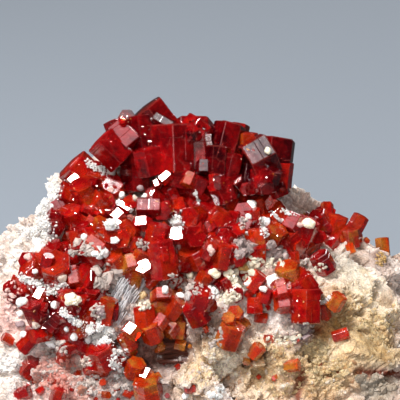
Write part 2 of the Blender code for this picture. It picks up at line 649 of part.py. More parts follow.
def main():
    for thing in list(bpy.data.objects):
        bpy.data.objects.remove(thing)
    place("matrix", rock_mesh("matrix", 0.0), ROCK_FINISH)
    cutters = [cutter_of("rock_clearance", rock_mesh("rock_clearance", SEAT_GAP))]
    for name, rows, seated, turn, finish in AREAS:
        bodies = grown_together(name, crystal_mesh(name, rows, seated, turn, 0.0), cutters)
        bodies.sort(key=lambda pair: -pair[0])
        for index, (_, body) in enumerate(bodies):
            label = name if index == 0 else f"{name}_{index + 1}"
            mesh = bpy.data.meshes.new(label)
            body.to_mesh(mesh)
            body.free()
            place(label, mesh, finish)
        grown = crystal_mesh(name + "_clearance", rows, seated, turn, SEAT_GAP)
        cutters.append(cutter_of(name + "_clearance", grown))


main()
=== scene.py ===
"""Vanadinite on matrix: the looks of a mineral specimen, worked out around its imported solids.

Run as a script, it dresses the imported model: the rock gets its broken, sugary surface with
grains, crusts and beads on it, and the hexagonal crystals get growth steps, fine blocks that
grew parallel to them, and a red that light goes through.

Lengths in the tables are millimetres. A place is given on the display plane: an upright plane
through the middle of the rock, tilted back to face a viewer who looks slightly down. Right and
up are measured on it, and a thing placed there is pushed back along the viewer's sight line
until it meets what carries it.
"""
import math

import bpy
import numpy as np
from bpy.props import FloatProperty, FloatVectorProperty, IntProperty, PointerProperty
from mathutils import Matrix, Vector
from mathutils.bvhtree import BVHTree


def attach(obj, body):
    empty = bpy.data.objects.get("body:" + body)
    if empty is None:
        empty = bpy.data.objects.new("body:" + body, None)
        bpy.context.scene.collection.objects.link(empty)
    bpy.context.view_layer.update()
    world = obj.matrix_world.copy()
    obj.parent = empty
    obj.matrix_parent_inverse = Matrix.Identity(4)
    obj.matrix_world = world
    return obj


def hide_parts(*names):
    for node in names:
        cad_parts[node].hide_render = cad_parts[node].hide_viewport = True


bl_info = {
    "name": "Vanadinite on Matrix",
    "version": (1, 0, 0),
    "blender": (4, 5, 0),
    "location": "3D View > Sidebar > Specimen",
    "description": "Dresses a crystal specimen: broken rock, grains, beads and red prisms",
    "category": "Add Mesh",
}

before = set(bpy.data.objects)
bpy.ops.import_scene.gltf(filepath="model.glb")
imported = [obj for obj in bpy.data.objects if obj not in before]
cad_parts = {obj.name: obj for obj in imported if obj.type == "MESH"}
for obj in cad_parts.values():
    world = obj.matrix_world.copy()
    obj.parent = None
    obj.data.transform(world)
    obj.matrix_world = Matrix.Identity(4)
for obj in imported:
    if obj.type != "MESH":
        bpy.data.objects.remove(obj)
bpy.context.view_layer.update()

MM = 0.001
BODY = "root"
ROCK = "rock_surface"
# Where the random draws of each kind of thing start.
SEEDS = {"rock": 40, "crystals": 100, "tones": 200, "small": 300, "grains": 400, "beads": 500,
         "clumps": 550, "crusts": 600, "sparks": 650, "fibres": 700}
FULL_TURN = 2.0 * math.pi
# The lightest that a grain's tint can be.
LIGHTEST = 0.95

# The rock's plain form, in millimetres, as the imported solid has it.
ROCK_HALF_LENGTH = 32.0
ROCK_FRONT_DEPTH = 22.0
ROCK_BACK_DEPTH = 17.0
RIDGE_Y = 4.0
RIDGE_X = (-31.0, -25.0, -20.8, -19.2, -16.5, -12.0, -4.0, 4.0, 11.0, 17.5, 25.0, 31.0)
RIDGE_Z = (16.0, 21.4, 23.0, 27.2, 28.6, 29.0, 29.5, 29.0, 24.8, 21.8, 17.8, 13.0)
SECTION_POWER = 1.9
END_POWER = 6.0
HEART = np.array((0.0, RIDGE_Y, 0.0))
SEARCH_NEAR = 2.0
SEARCH_FAR = 60.0
SEARCH_STEPS = 26

# Broken faces of the rock: cell size, height of the steps between cells, slope in a cell, seed.
BROKEN_FACES = ((7.5, 0.9, 0.16, 11), (3.6, 0.5, 0.22, 12))
LUMPS = ((9.0, 1.2, 21), (4.5, 0.6, 22))
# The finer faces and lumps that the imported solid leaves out.
FINE_FACES = ((1.7, 0.12, 0.13, 13), (0.75, 0.06, 0.15, 14))
FINE_LUMPS = ((0.9, 0.1, 23), (0.4, 0.05, 24))

# The display plane.
VIEW_ELEVATION = math.radians(18.0)
VIEW_TARGET = np.array((0.0, 0.0, 26.7))
VIEW_DISTANCE = 260.0
VIEW_WIDTH = 50.0
SIGHT_REACH = 40.0
SIGHT_STEP = 0.125

# Pits and bosses of the rock: right and up on the display plane, reach, height.
RELIEF = (
    (-2.5, -18.6, 3.6, -2.6), (2.6, -5.3, 1.6, -1.2), (13.4, -6.6, 2.6, -1.6), (14.8, -16.0, 1.8, -1.2),
    (-17.4, -5.2, 1.0, -0.8), (-7.8, 1.6, 2.2, -1.4), (4.8, 1.8, 2.2, -1.4), (20.0, -17.0, 4.0, 1.2),
    (9.0, -19.0, 3.5, 0.8), (23.0, -11.0, 3.5, 0.9), (-23.0, -14.0, 3.0, 0.8),
)
# How far a seated crystal's middle stands out, as a share of its half-extent.
RISE_SHARE = 0.35

# Faces that mirror the key light turn to the first direction on the display plane, faces
# that mirror the paler halo round it turn to the second, and ones at its edge to the third.
# From a place off the middle these directions shift by so much for each millimetre.
GLINT = np.array((-0.178, 0.391, 0.904))
SHEEN = np.array((-0.058, 0.397, 0.916))
SOFT_SHEEN = np.array((-0.015, 0.4, 0.916))
MIRROR_SHIFT = np.array((-0.0029, -0.0029, 0.0))
SIDES = 6
SIDE_TURN = math.pi / 3.0

# Crystals: right, up, rise, width across the flats, length, aim, lean, spin, and the tone
# where it isn't that of the area. Aim is the direction of the axis on the display plane,
# anticlockwise from right; lean tips it towards the viewer; spin turns the prism about it, in
# degrees or, as one of the directions above, until a side faces that way.
CROWN = (
    (-5.2, 9.8, 0.8, 4.4, 4.8, 128, 8, 30, 0.08), (-3.4, 6.4, 3.0, 5.3, 6.0, 92, 0, 30, 0.24),
    (-6.2, 4.9, 3.8, 3.6, 3.4, 104, 10, 20, 0.4), (-7.0, 8.2, 2.0, 3.2, 4.8, 98, 0, 15, 0.2),
    (-10.9, 6.4, 2.6, 4.0, 4.0, 135, 4, 14, 0.3), (-9.6, 7.7, 2.3, 3.6, 3.6, 135, -19, SOFT_SHEEN, 0.12),
    (-9.1, 10.0, 1.2, 2.0, 1.8, 92, 67, 0, 0.0), (-10.5, 8.6, 0.2, 2.2, 2.8, 112, 0, 20, 0.3),
    (-4.6, 9.7, 3.3, 1.5, 2.6, -30, 15, SHEEN, 0.05), (-1.1, 7.9, 1.4, 3.7, 4.6, 52, -6, 10, 0.3),
    (3.4, 7.4, 0.6, 3.6, 4.2, 76, -8, 10, 0.08), (1.6, 7.2, -1.0, 3.0, 3.8, 85, -8, 10, 0.12),
    (4.7, 8.2, -3.2, 2.4, 2.6, 80, -10, 0, 0.2), (5.8, 7.1, 0.6, 2.4, 2.6, 88, 8, 10, 0.62),
    (7.5, 5.3, 3.6, 4.6, 3.4, 28, -8, SHEEN, 0.04), (9.2, 5.0, 1.4, 4.4, 5.4, 83, -5, 20, 0.16),
    (10.1, 3.1, 2.2, 2.7, 3.2, 85, 5, 10, 0.55), (8.2, 2.6, 3.6, 3.2, 3.2, 100, 10, 5, 0.3),
    (9.7, 1.6, 2.4, 2.2, 2.4, 112, 5, 15, 0.3), (0.55, 4.0, 4.6, 2.0, 1.7, 88, -23, SHEEN, 0.0),
    (2.0, 4.4, 3.4, 3.0, 4.6, 85, 0, 10, 0.15), (3.6, 4.1, 3.2, 2.8, 3.6, 78, 5, 30, 0.28),
    (-0.4, 6.0, 2.4, 3.6, 4.4, 95, 0, 0, 0.25), (-7.8, 3.6, 0.6, 3.8, 5.2, 94, 0, 10, 0.05),
    (6.0, 3.0, 1.2, 3.8, 4.8, 80, 0, 20, 0.05), (-2.6, 3.4, 3.6, 3.4, 3.4, 76, 8, 10, 0.3),
    (-4.35, 2.8, 5.0, 1.4, 1.5, 40, -8, GLINT), (-5.45, 2.05, 4.6, 0.9, 1.0, 110, -24, GLINT),
    (-1.4, 2.4, 4.6, 2.0, 1.8, 68, -20, SOFT_SHEEN, 0.6), (-0.3, 1.9, 4.0, 2.4, 2.6, 60, 15, 20),
    (2.8, 1.2, 4.2, 2.8, 2.8, 115, 15, 17), (-7.6, 6.0, -2.4, 5.0, 5.4, 120, -25, 10),
    (-1.0, 6.8, -2.8, 5.4, 5.8, 95, -25, 12), (5.6, 4.8, -2.8, 5.2, 5.4, 75, -25, 0),
    (-3.6, 3.0, -5.0, 4.6, 4.8, 110, -50, 0), (3.2, 2.6, -5.4, 4.6, 4.8, 75, -50, 20),
)
LEFT_CLUSTER = (
    (-14.5, 2.8, 0.6, 4.4, 4.8, 135, 10, 15), (-12.8, 2.8, 1.4, 3.0, 3.0, 70, 45, 0),
    (-15.55, 2.2, 2.8, 2.2, 1.4, 41, -8, GLINT), (-12.5, -0.4, 1.2, 2.7, 2.8, 50, 25, 20),
    (-11.7, -1.2, 1.0, 2.2, 2.2, 100, 55, 0), (-10.2, -2.1, 1.6, 2.1, 1.4, 45, -8, GLINT),
    (-9.5, -0.8, 1.4, 1.2, 2.0, 150, -20, GLINT), (-8.8, -0.6, 0.6, 1.7, 1.8, 60, 60, 0),
    (-16.2, 0.4, 0.8, 2.9, 3.2, 160, 20, 10), (-14.3, 0.9, 1.4, 3.0, 3.2, 110, 35, 10),
    (-10.7, 0.8, 0.6, 2.2, 2.4, 60, 15, 10),
)
LEFT_EDGE_CLUSTER = (
    (-18.0, -2.7, 1.5, 2.4, 3.0, -95, 60, 0, 0.35), (-18.0, -1.2, 1.3, 2.6, 2.2, 30, 0, SOFT_SHEEN, 0.4),
    (-15.8, -2.2, 1.2, 2.4, 2.6, 110, 35, 10, 0.4), (-15.7, -3.4, 0.7, 2.1, 2.4, 60, 30, 0, 0.45),
    (-16.6, -3.2, 0.4, 1.9, 2.2, 10, 20, 10, 0.4),
)
LEFT_LOWER_CLUSTER = (
    (-12.6, -3.4, 0.4, 1.9, 2.2, 60, 30, 10), (-11.4, -4.5, 0.6, 1.9, 2.2, 110, 30, 0),
    (-9.4, -3.8, 0.6, 1.9, 2.2, 40, 20, 10), (-8.6, -5.0, 0.4, 1.9, 2.2, 130, 20, 0),
)
MID_LEFT_CLUSTER = (
    (-10.2, -7.7, 0.6, 2.4, 2.6, 125, 35, 10), (-8.6, -7.9, 0.9, 2.2, 1.9, 105, -23, SHEEN),
    (-8.4, -9.4, 0.6, 2.4, 2.6, 80, 30, 20), (-11.0, -8.7, 0.2, 1.8, 2.0, 150, 30, 0),
    (-6.9, -8.5, 1.4, 1.9, 1.9, 114, 65, 10), (-7.6, -7.2, 0.2, 1.9, 2.2, 60, 20, 25),
)
MIDDLE_CLUSTER = (
    (-4.6, -7.4, 1.2, 3.4, 4.6, 98, 8, 25, 0.45), (-5.3, -4.4, 0.8, 2.6, 2.6, 80, 15, 10),
    (-6.4, -1.1, 1.2, 2.6, 2.9, 0, 4, SHEEN, 0.12), (-4.2, -1.3, 0.8, 1.8, 2.2, 104, 0, 10),
    (-7.2, -3.0, 1.1, 2.4, 1.3, 92, -23, GLINT), (-2.8, -4.7, 1.5, 2.8, 1.8, 97, -22, GLINT),
    (-0.5, -4.5, 0.9, 2.7, 2.8, 122, 38, 10), (-3.5, 0.8, 0.6, 2.2, 2.4, 115, 25, 10),
    (-5.6, 0.4, 0.4, 2.0, 2.2, 140, 25, 15), (-0.9, -0.9, 0.8, 2.2, 2.4, 130, 25, 10),
    (0.0, 0.3, 0.6, 2.0, 2.4, 45, 20, 20), (0.3, -1.7, 1.1, 2.8, 2.8, 70, 28, 15),
    (1.5, -0.1, 0.9, 2.2, 2.2, 100, -23, SOFT_SHEEN, 0.4), (3.6, -0.7, 0.6, 2.2, 2.6, 75, 8, 20),
    (2.1, -2.4, 0.8, 2.3, 2.6, 50, 20, 0),
)
CENTRE_CLUSTER = (
    (-0.2, -7.3, 0.4, 2.3, 2.4, 115, 20, 10), (2.9, -7.1, 0.8, 2.0, 2.9, 78, 15, 15),
    (1.3, -6.3, 0.4, 1.9, 2.2, 60, 20, 0), (-2.0, -7.2, 0.2, 2.0, 2.4, 80, 10, 20),
)
LOWER_CENTRE_CLUSTER = (
    (0.4, -10.2, 0.6, 1.9, 2.2, 60, 20, 15), (3.2, -10.4, 0.6, 1.8, 2.0, 115, 28, 5),
)
RIGHT_CLUSTER = (
    (9.6, -2.2, 0.8, 3.0, 2.8, 130, 20, 10), (11.4, -3.0, 1.6, 2.6, 2.2, 60, -19, SOFT_SHEEN, 0.4),
    (12.9, -3.9, 0.6, 3.2, 3.2, 70, 20, 10), (11.4, -4.9, 0.8, 2.8, 2.8, 120, 35, 15),
    (9.2, -4.6, 0.6, 2.6, 2.8, 60, 35, 10), (7.0, -1.0, 0.6, 2.4, 2.6, 100, 15, 15),
    (8.6, -0.6, 0.2, 2.2, 2.4, 50, 5, 0), (7.2, -5.4, 0.6, 2.2, 3.4, 88, 12, 10),
)
FAR_RIGHT_CLUSTER = (
    (15.0, -2.9, 0.6, 2.6, 2.8, 120, 20, 10), (16.9, -3.3, 0.8, 2.6, 2.8, 75, 12, 20),
    (15.4, -4.9, 0.6, 2.5, 2.6, 50, 30, 5), (17.4, -5.2, 0.5, 2.3, 2.4, 120, 25, 15),
    (19.6, -3.1, 0.8, 1.9, 2.6, 62, 12, 0), (18.9, -4.6, 0.4, 2.3, 2.4, 100, 20, 10),
)
LOWER_RIGHT_CLUSTER = (
    (13.2, -13.2, 1.4, 3.6, 4.2, 90, 2, 30, 0.44), (13.1, -11.35, 1.4, 3.4, 3.0, 127, 6, 30, 0.42),
    (11.0, -9.3, 0.8, 2.8, 2.6, 100, 30, 10, 0.92), (12.6, -9.9, 0.8, 2.0, 2.6, 55, 10, 10),
    (10.2, -11.2, 1.3, 2.1, 2.0, 104, -23, SHEEN, 0.66),
    (10.5, -12.9, 2.1, 2.3, 1.9, 96, -23, SHEEN, 0.66), (11.4, -12.0, 0.4, 2.4, 3.0, 70, 0, 10),
)
LOWER_BOX_CLUSTER = (
    (7.0, -10.2, 1.0, 2.0, 2.4, 52, 10, 10), (6.8, -13.2, 0.8, 1.9, 1.9, 90, 0, 30),
    (8.3, -11.9, 0.2, 1.5, 1.9, 70, 15, 0),
)
ORANGE_CLUSTER = (
    (3.8, -16.9, 0.8, 2.9, 2.9, 70, 20, 20), (4.4, -14.6, 0.9, 1.8, 2.2, 95, 55, 0),
    (3.6, -15.2, 1.0, 1.6, 2.0, 95, 55, 10), (5.0, -15.9, 0.4, 1.7, 2.2, 50, 20, 10),
)
LOWER_LEFT_CLUSTER = (
    (-17.9, -8.9, 1.0, 3.6, 3.4, 96, 50, 30), (-21.0, -9.2, 0.6, 2.4, 2.4, 125, 25, 10),
    (-14.2, -10.2, 0.8, 3.0, 3.8, 58, 18, 15), (-15.9, -9.7, 1.0, 2.2, 2.4, 102, -23, SHEEN),
    (-21.4, -11.2, 0.4, 2.0, 2.0, 150, 30, 10), (-20.0, -11.9, 1.5, 1.7, 1.6, 62, -12, GLINT),
    (-20.4, -13.8, 1.0, 2.9, 3.0, 112, 30, 10, 0.3), (-18.0, -14.7, 1.2, 2.8, 2.6, 50, 35, 0, 0.3),
    (-19.0, -12.6, 0.8, 2.0, 2.2, 120, 25, 20), (-16.2, -13.4, 1.0, 3.2, 3.2, 75, 35, 15),
    (-14.4, -15.4, 0.8, 2.7, 2.8, 40, 30, 10), (-16.8, -15.8, 0.4, 2.2, 2.4, 110, 35, 0),
    (-13.4, -11.7, 1.4, 1.6, 2.0, 80, 55, 0), (-13.9, -13.3, 0.6, 2.4, 2.6, 120, 25, 20),
)
LOWER_LEFT_ORANGE = (
    (-11.6, -13.9, 0.4, 2.0, 3.2, 78, 10, 15),
)
LEANING_PRISM = (
    (-21.3, -17.6, 0.5, 1.9, 3.0, 46, 14, 20, 0.3),
)
BOTTOM_LEFT_CLUSTER = (
    (-12.0, -19.4, 0.8, 3.0, 3.0, 115, 32, 10), (-12.9, -20.9, 0.6, 2.0, 2.8, 168, 20, 10),
    (-15.0, -18.2, 0.4, 2.0, 2.8, 150, 20, 0), (-13.6, -19.3, 0.2, 2.2, 2.4, 70, 20, 20),
)
LOWER_MIDDLE_CLUSTER = (
    (-4.6, -12.1, 1.5, 3.0, 1.5, 92, -23, SHEEN), (-4.8, -13.4, 0.8, 2.6, 2.0, 80, 12, 10),
    (-3.1, -13.4, 0.8, 2.4, 2.6, 55, 20, 20), (-6.9, -14.6, 0.9, 2.5, 2.6, 97, 2, -25),
    (-5.0, -15.3, 1.7, 1.8, 1.6, 55, -18, SHEEN), (-3.7, -16.2, 1.5, 1.9, 1.7, 55, -18, SHEEN),
    (-2.6, -16.1, 0.8, 1.9, 2.2, 80, 10, 10), (-6.1, -16.5, 0.6, 2.3, 2.4, 110, 28, 0),
)
DARK_MIDDLE_CLUSTER = (
    (0.1, -12.5, 0.8, 2.8, 2.6, 70, 25, 10), (-0.4, -14.2, 0.6, 2.5, 2.6, 120, 20, 20),
)
WHITE_TIPPED_CLUSTER = (
    (-8.6, -16.4, 1.2, 2.2, 1.4, 52, -11, GLINT), (-9.0, -17.6, 0.6, 2.0, 2.2, 120, 20, 15),
)
BOTTOM_CLUSTER = (
    (-8.2, -21.1, 0.6, 2.1, 2.2, 70, 38, 10, 0.75), (-6.8, -21.8, 1.0, 1.6, 1.4, 60, -14, GLINT),
    (-6.5, -23.7, 0.7, 3.2, 3.0, 100, 30, 15, 0.78),
)
SCATTERED = (
    (7.0, -18.9, 0.0, 1.6, 1.8, 50, 20, 0, 0.85), (17.6, -16.9, 0.0, 1.4, 2.0, 20, 10, 0, 0.75),
    (11.5, -20.7, 0.0, 1.3, 1.9, 10, 20, 0, 0.9), (17.0, -12.7, 0.3, 1.8, 2.0, 60, 20, 0, 0.75),
    (15.3, -14.0, 0.2, 1.6, 2.0, 110, 20, 0, 0.75), (22.8, -5.9, 0.8, 1.7, 2.4, 95, 0, 20, 0.88),
    (15.4, -7.8, 0.3, 2.4, 2.6, 120, 20, 10, 0.3), (-21.0, -20.9, 0.1, 2.4, 2.4, 50, 35, 10, 0.5),
    (-22.1, -24.2, -0.3, 1.5, 1.8, 20, 20, 0, 0.5), (-17.7, -24.4, 0.0, 1.7, 2.0, 70, 20, 0, 0.55),
    (-17.0, -19.4, 0.0, 1.6, 2.0, 60, 30, 0, 0.6), (-24.0, -17.4, -0.3, 1.2, 1.5, 150, 20, 0, 0.5),
)
# Seen from behind the rock.
BACK_CLUSTER = (
    (-3.0, 0.5, 0.6, 3.0, 3.2, 100, 20, 10), (0.2, -0.8, 0.6, 3.4, 3.4, 70, 25, 0),
    (-1.6, -2.6, 0.6, 2.6, 2.8, 120, 30, 20), (2.6, 0.8, 0.4, 2.6, 3.0, 50, 15, 15),
)
BACK_SCATTERED = (
    (-9.0, -4.0, 0.3, 2.4, 2.6, 60, 30, 0), (8.5, -5.5, 0.3, 2.6, 2.8, 120, 25, 10),
    (14.0, -9.0, 0.3, 2.2, 2.4, 30, 20, 20), (-14.0, -11.5, 0.3, 2.6, 2.8, 130, 20, 10),
)

# Each area of crystals: piece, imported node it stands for, its crystals, whether they sit on
# the rock, turn of the display plane about the upright, tone from maroon 0 to amber 1, slot.
DEEP = "deep_red_crystal"
ORANGE = "orange_red_crystal"
AREAS = (
    ("crown_crystals", "crown_cluster", CROWN, False, 0, 0.3, DEEP),
    ("left_crystals", "left_cluster", LEFT_CLUSTER, True, 0, 0.5, DEEP),
    ("left_edge_crystals", "left_edge_cluster", LEFT_EDGE_CLUSTER, True, 0, 0.45, DEEP),
    ("left_lower_crystals", "left_lower_cluster", LEFT_LOWER_CLUSTER, True, 0, 0.7, ORANGE),
    ("mid_left_crystals", "mid_left_cluster", MID_LEFT_CLUSTER, True, 0, 0.75, ORANGE),
    ("middle_crystals", "middle_cluster", MIDDLE_CLUSTER, True, 0, 0.5, DEEP),
    ("centre_crystals", "centre_cluster", CENTRE_CLUSTER, True, 0, 0.5, DEEP),
    ("lower_centre_crystals", "lower_centre_cluster", LOWER_CENTRE_CLUSTER, True, 0, 0.7, ORANGE),
    ("right_crystals", "right_cluster", RIGHT_CLUSTER, True, 0, 0.6, DEEP),
    ("far_right_crystals", "far_right_cluster", FAR_RIGHT_CLUSTER, True, 0, 0.64, DEEP),
    ("lower_right_crystals", "lower_right_cluster", LOWER_RIGHT_CLUSTER, True, 0, 0.6, DEEP),
    ("lower_box_crystals", "lower_box_cluster", LOWER_BOX_CLUSTER, True, 0, 0.6, DEEP),
    ("orange_crystals", "orange_cluster", ORANGE_CLUSTER, True, 0, 0.85, ORANGE),
    ("lower_left_crystals", "lower_left_cluster", LOWER_LEFT_CLUSTER, True, 0, 0.5, DEEP),
    ("lower_left_orange_crystal", "lower_left_orange", LOWER_LEFT_ORANGE, True, 0, 0.85, ORANGE),
    ("leaning_crystal", "leaning_prism", LEANING_PRISM, True, 0, 0.5, DEEP),
    ("bottom_left_crystals", "bottom_left_cluster", BOTTOM_LEFT_CLUSTER, True, 0, 0.5, DEEP),
    ("lower_middle_crystals", "lower_middle_cluster", LOWER_MIDDLE_CLUSTER, True, 0, 0.75, ORANGE),
    ("dark_middle_crystals", "dark_middle_cluster", DARK_MIDDLE_CLUSTER, True, 0, 0.3, DEEP),
    ("white_tipped_crystals", "white_tipped_cluster", WHITE_TIPPED_CLUSTER, True, 0, 0.7, DEEP),
    ("bottom_crystals", "bottom_cluster", BOTTOM_CLUSTER, True, 0, 0.85, ORANGE),
    ("scattered_crystals", "scattered_crystal", SCATTERED, True, 0, 0.8, ORANGE),
    ("back_crystals", "back_cluster", BACK_CLUSTER, True, 180, 0.45, DEEP),
    ("back_scattered_crystals", "back_crystal", BACK_SCATTERED, True, 180, 0.55, DEEP),
)

# The crystals that turn a side to the light, as right, up, half size: nothing covers them.
BRIGHT_FACES = np.array([(row[0], row[1], max(row[3:5]) / 2.0) for area in AREAS for row in area[2]
                         if isinstance(row[7], np.ndarray) and area[4] == 0])

# Rock colours by zone: right, up, reach, name of the colour, strength. The brown and umber zones are
# painted shade in hollows, and the maroon ones are painted shade laid over red stain.
TINT_ZONES = (
    (-5.0, -2.0, 5.5, "rust", 0.9), (1.5, -2.0, 5.0, "rust", 0.9), (-12.5, -1.5, 4.4, "rust", 0.9),
    (10.5, -2.5, 4.8, "rust", 0.85), (15.5, -4.0, 3.0, "rust", 0.8), (-4.5, -7.5, 3.6, "rust", 0.7),
    (2.0, -7.5, 2.8, "rust", 0.6), (-18.5, -11.5, 4.4, "rust", 0.85), (-15.5, -15.0, 4.4, "rust", 0.8),
    (11.0, -10.5, 3.2, "rust", 0.6), (-4.5, -14.5, 4.0, "rust", 0.75), (-10.5, -19.0, 3.0, "rust", 0.6),
    (-19.4, 0.8, 3.0, "white", 1.0), (-23.0, -5.0, 4.0, "white", 0.45), (-24.0, -15.5, 3.0, "pink", 0.8),
    (-24.0, -21.5, 3.2, "white", 0.6), (-18.8, -22.0, 3.5, "rose", 0.7), (-14.0, -23.0, 3.0, "rose", 0.6),
    # The umber zones on these two lines are painted shade in the hollow under the middle crystals.
    (-9.0, -24.0, 3.0, "grey", 0.7), (-3.6, -18.4, 5.0, "umber", 0.95), (-6.6, -18.0, 2.8, "umber", 0.85),
    (0.6, -17.6, 2.6, "umber", 0.9), (2.5, -21.5, 5.0, "beige", 0.8), (0.2, -21.4, 3.2, "tan", 0.8),
    (8.0, -21.0, 4.5, "tan", 0.8), (18.8, -16.0, 7.0, "ochre", 0.85), (15.5, -22.0, 5.5, "ochre", 0.85),
    (22.5, -13.8, 3.8, "olive", 0.3), (22.0, -14.4, 3.2, "cream", 0.35), (17.5, -14.6, 2.2, "olive", 0.5),
    (20.5, -18.4, 2.2, "olive", 0.4), (22.6, -19.0, 2.8, "olive", 0.8), (16.0, -19.4, 1.7, "cream", 0.25),
    (17.6, -18.2, 1.6, "cream", 0.2), (9.0, -14.6, 1.6, "grey", 0.6), (14.6, -15.2, 1.3, "rust", 0.35),
    # The cream zone at 3.2 right, 20 down is painted light: it lightens a rock face that turns away from
    # the key light and lies in shade.
    (11.0, -21.6, 1.4, "rust", 0.3), (4.6, -20.6, 1.2, "rust", 0.3), (3.2, -20.0, 2.8, "cream", 0.55),
    (22.2, -23.6, 2.6, "slate", 1.0), (12.5, -16.0, 2.2, "violet", 0.9), (18.5, -8.2, 4.0, "chalk", 0.9),
    # From here on, the brown, umber and maroon zones are painted shade in hollows and gaps; the maroon
    # ones lay it over red stain.
    (21.5, -10.6, 3.2, "cream", 0.5), (22.4, -7.4, 1.6, "brown", 0.8), (-17.4, -5.3, 1.1, "umber", 0.9),
    (-21.0, -20.8, 1.3, "red", 0.5), (-17.4, -24.2, 1.4, "red", 0.5), (-22.3, -24.4, 1.2, "red", 0.5),
    (-12.6, -21.4, 1.2, "red", 0.4), (17.0, -2.8, 2.0, "maroon", 0.8), (-2.8, -10.0, 2.2, "brown", 0.6),
    (13.2, -6.8, 2.2, "maroon", 0.9), (4.8, 2.0, 2.6, "maroon", 0.9), (2.6, -5.4, 1.4, "maroon", 0.8),
    (-8.5, 2.5, 3.0, "maroon", 0.8), (5.5, -6.2, 2.4, "grey", 0.6), (-11.5, -10.2, 2.4, "grey", 0.7),
    (-9.6, -11.2, 1.8, "brown", 0.7), (10.0, 0.0, 3.0, "grey", 0.7), (-12.0, -19.5, 2.5, "maroon", 0.5),
    (-6.5, -22.6, 2.2, "maroon", 0.5),
)

# The rock's ground colour runs from beige to pale: middle, contrast and size of the noise.
GROUND_MIX = (0.45, 0.6, 4.0)
# Noises, each with its size, its height and what it adds to the seed: the ragged edge of a
# colour zone, and how deep a patch is stained, from the least to the greatest and by how much.
ZONE_EDGE = ((2.2, 0.5, 1), (0.7, 0.3, 3))
PATCHES = ((1.2, 1.0, 4), (0.5, 0.7, 5))
PATCH_DEPTHS = (-0.4, 1.0)
DEEPENING = 0.45
# Flat cells of slightly different light: size, and how much they differ.
FACET_SIZE = 0.9
FACET_LIGHT = 0.1

# Cracks: right and up of the start and the end, reach; how deep they go; how strongly they are coloured a
# dark red-brown, partly real stain and partly painted shade at their bottom; and the noises that bend
# them, each with its size, its amount and its seed.
CRACK_DEPTH = 0.8
CRACK_STAIN_AND_SHADE = 0.95
CRACK_BENDS = ((1.3, 0.3, 61), (0.4, 0.16, 62))
CRACKS = (
    (19.8, -21.5, 25.4, -22.0, 0.55), (10.2, -17.3, 14.8, -16.1, 0.4), (12.8, -21.6, 12.2, -25.0, 0.5),
    (-8.9, -10.4, -7.6, -11.9, 0.5), (5.6, -20.6, 8.6, -18.9, 0.35), (17.8, -21.2, 15.4, -22.2, 0.22),
    (2.4, -16.4, 5.0, -18.8, 0.4), (-13.0, -21.9, -9.4, -20.7, 0.35),
)
# How much of the fine relief a smooth mass loses, and where it is: right, up, reach.
SMOOTHING = 0.75
SMOOTH_ZONES = ((19.0, -8.0, 3.6), (22.4, -10.6, 3.4), (21.5, -18.0, 2.4), (16.6, -19.0, 2.2))


# Factors that scramble the numbers of a lattice's cells, and the bits that are kept.
CELL_FACTORS = (73856093, 19349663, 83492791)
SEED_FACTOR = 668265263
SCRAMBLE = (2246822519, 3266489917, 1442695041)
KEPT_BITS = 0xFFFFFFFF


def lattice_random(cells, seed, channels):
    """Numbers in 0..1 for whole-numbered cells: the same cell and seed give the same ones."""
    first, second, third = (cells[..., axis] * CELL_FACTORS[axis] for axis in range(3))
    mixed = (first ^ second ^ third ^ seed * SEED_FACTOR) & KEPT_BITS
    numbers = []
    for _ in range(channels):
        mixed = ((mixed ^ mixed >> 15) * SCRAMBLE[0]) & KEPT_BITS
        mixed = ((mixed ^ mixed >> 13) * SCRAMBLE[1] + SCRAMBLE[2]) & KEPT_BITS
        numbers.append((mixed ^ mixed >> 16) / KEPT_BITS)
    return np.stack(numbers, axis=-1)


def smooth_noise(points, size, seed):
    """Noise from -1 to 1 that runs smoothly between random values on a lattice."""
    scaled = points / size
    corner = np.floor(scaled).astype(np.int64)
    part = scaled - corner
    part = part * part * (3.0 - 2.0 * part)
    total = np.zeros(points.shape[:-1])
    for step in np.ndindex(2, 2, 2):
        weight = np.prod(np.where(np.array(step) == 1, part, 1.0 - part), axis=-1)
        total += weight * lattice_random(corner + np.array(step), seed, 1)[..., 0]
    return total * 2.0 - 1.0


def layered(start, points, layers, seed=0):
    """A start with noises added to it, each with its size, its height and its own seed."""
    for size, height, step in layers:
        start = start + height * smooth_noise(points, size, seed + step)
    return start


def broken_faces(points, size, step, slope, seed):
    """Heights of flat faces that meet at edges: each point follows its nearest cell's plane."""
    scaled = points / size
    corner = np.floor(scaled).astype(np.int64)
    nearest = np.full(points.shape[:-1], np.inf)
    height = np.zeros(points.shape[:-1])
    for offset in np.ndindex(3, 3, 3):
        cell = corner + np.array(offset) - 1
        chance = lattice_random(cell, seed, 7)
        away = scaled - cell - chance[..., 0:3]
        distance = np.sum(away * away, axis=-1)
        plane = np.sum(away * (chance[..., 3:6] * 2.0 - 1.0), axis=-1) * size * slope * 2.0
        plane += (chance[..., 6] * 2.0 - 1.0) * step
        closer = distance < nearest
        height = np.where(closer, plane, height)
        nearest = np.where(closer, distance, nearest)
    return height


def plain_radius(directions):
    """Distance from the heart to the rock's plain form, an arched ridge, by halving."""
    near = np.full(directions.shape[:-1], SEARCH_NEAR)
    far = np.full(directions.shape[:-1], SEARCH_FAR)
    for _ in range(SEARCH_STEPS):
        middle = (near + far) / 2.0
        point = HEART + directions * middle[..., None]
        ridge = np.interp(point[..., 0], RIDGE_X, RIDGE_Z)
        across = point[..., 1] - RIDGE_Y
        depth = np.where(across < 0.0, ROCK_FRONT_DEPTH, ROCK_BACK_DEPTH)
        measure = (np.abs(point[..., 2]) / ridge) ** SECTION_POWER
        measure += (np.abs(across) / depth) ** SECTION_POWER
        measure += (np.abs(point[..., 0]) / ROCK_HALF_LENGTH) ** END_POWER
        near = np.where(measure < 1.0, middle, near)
        far = np.where(measure < 1.0, far, middle)
    return near


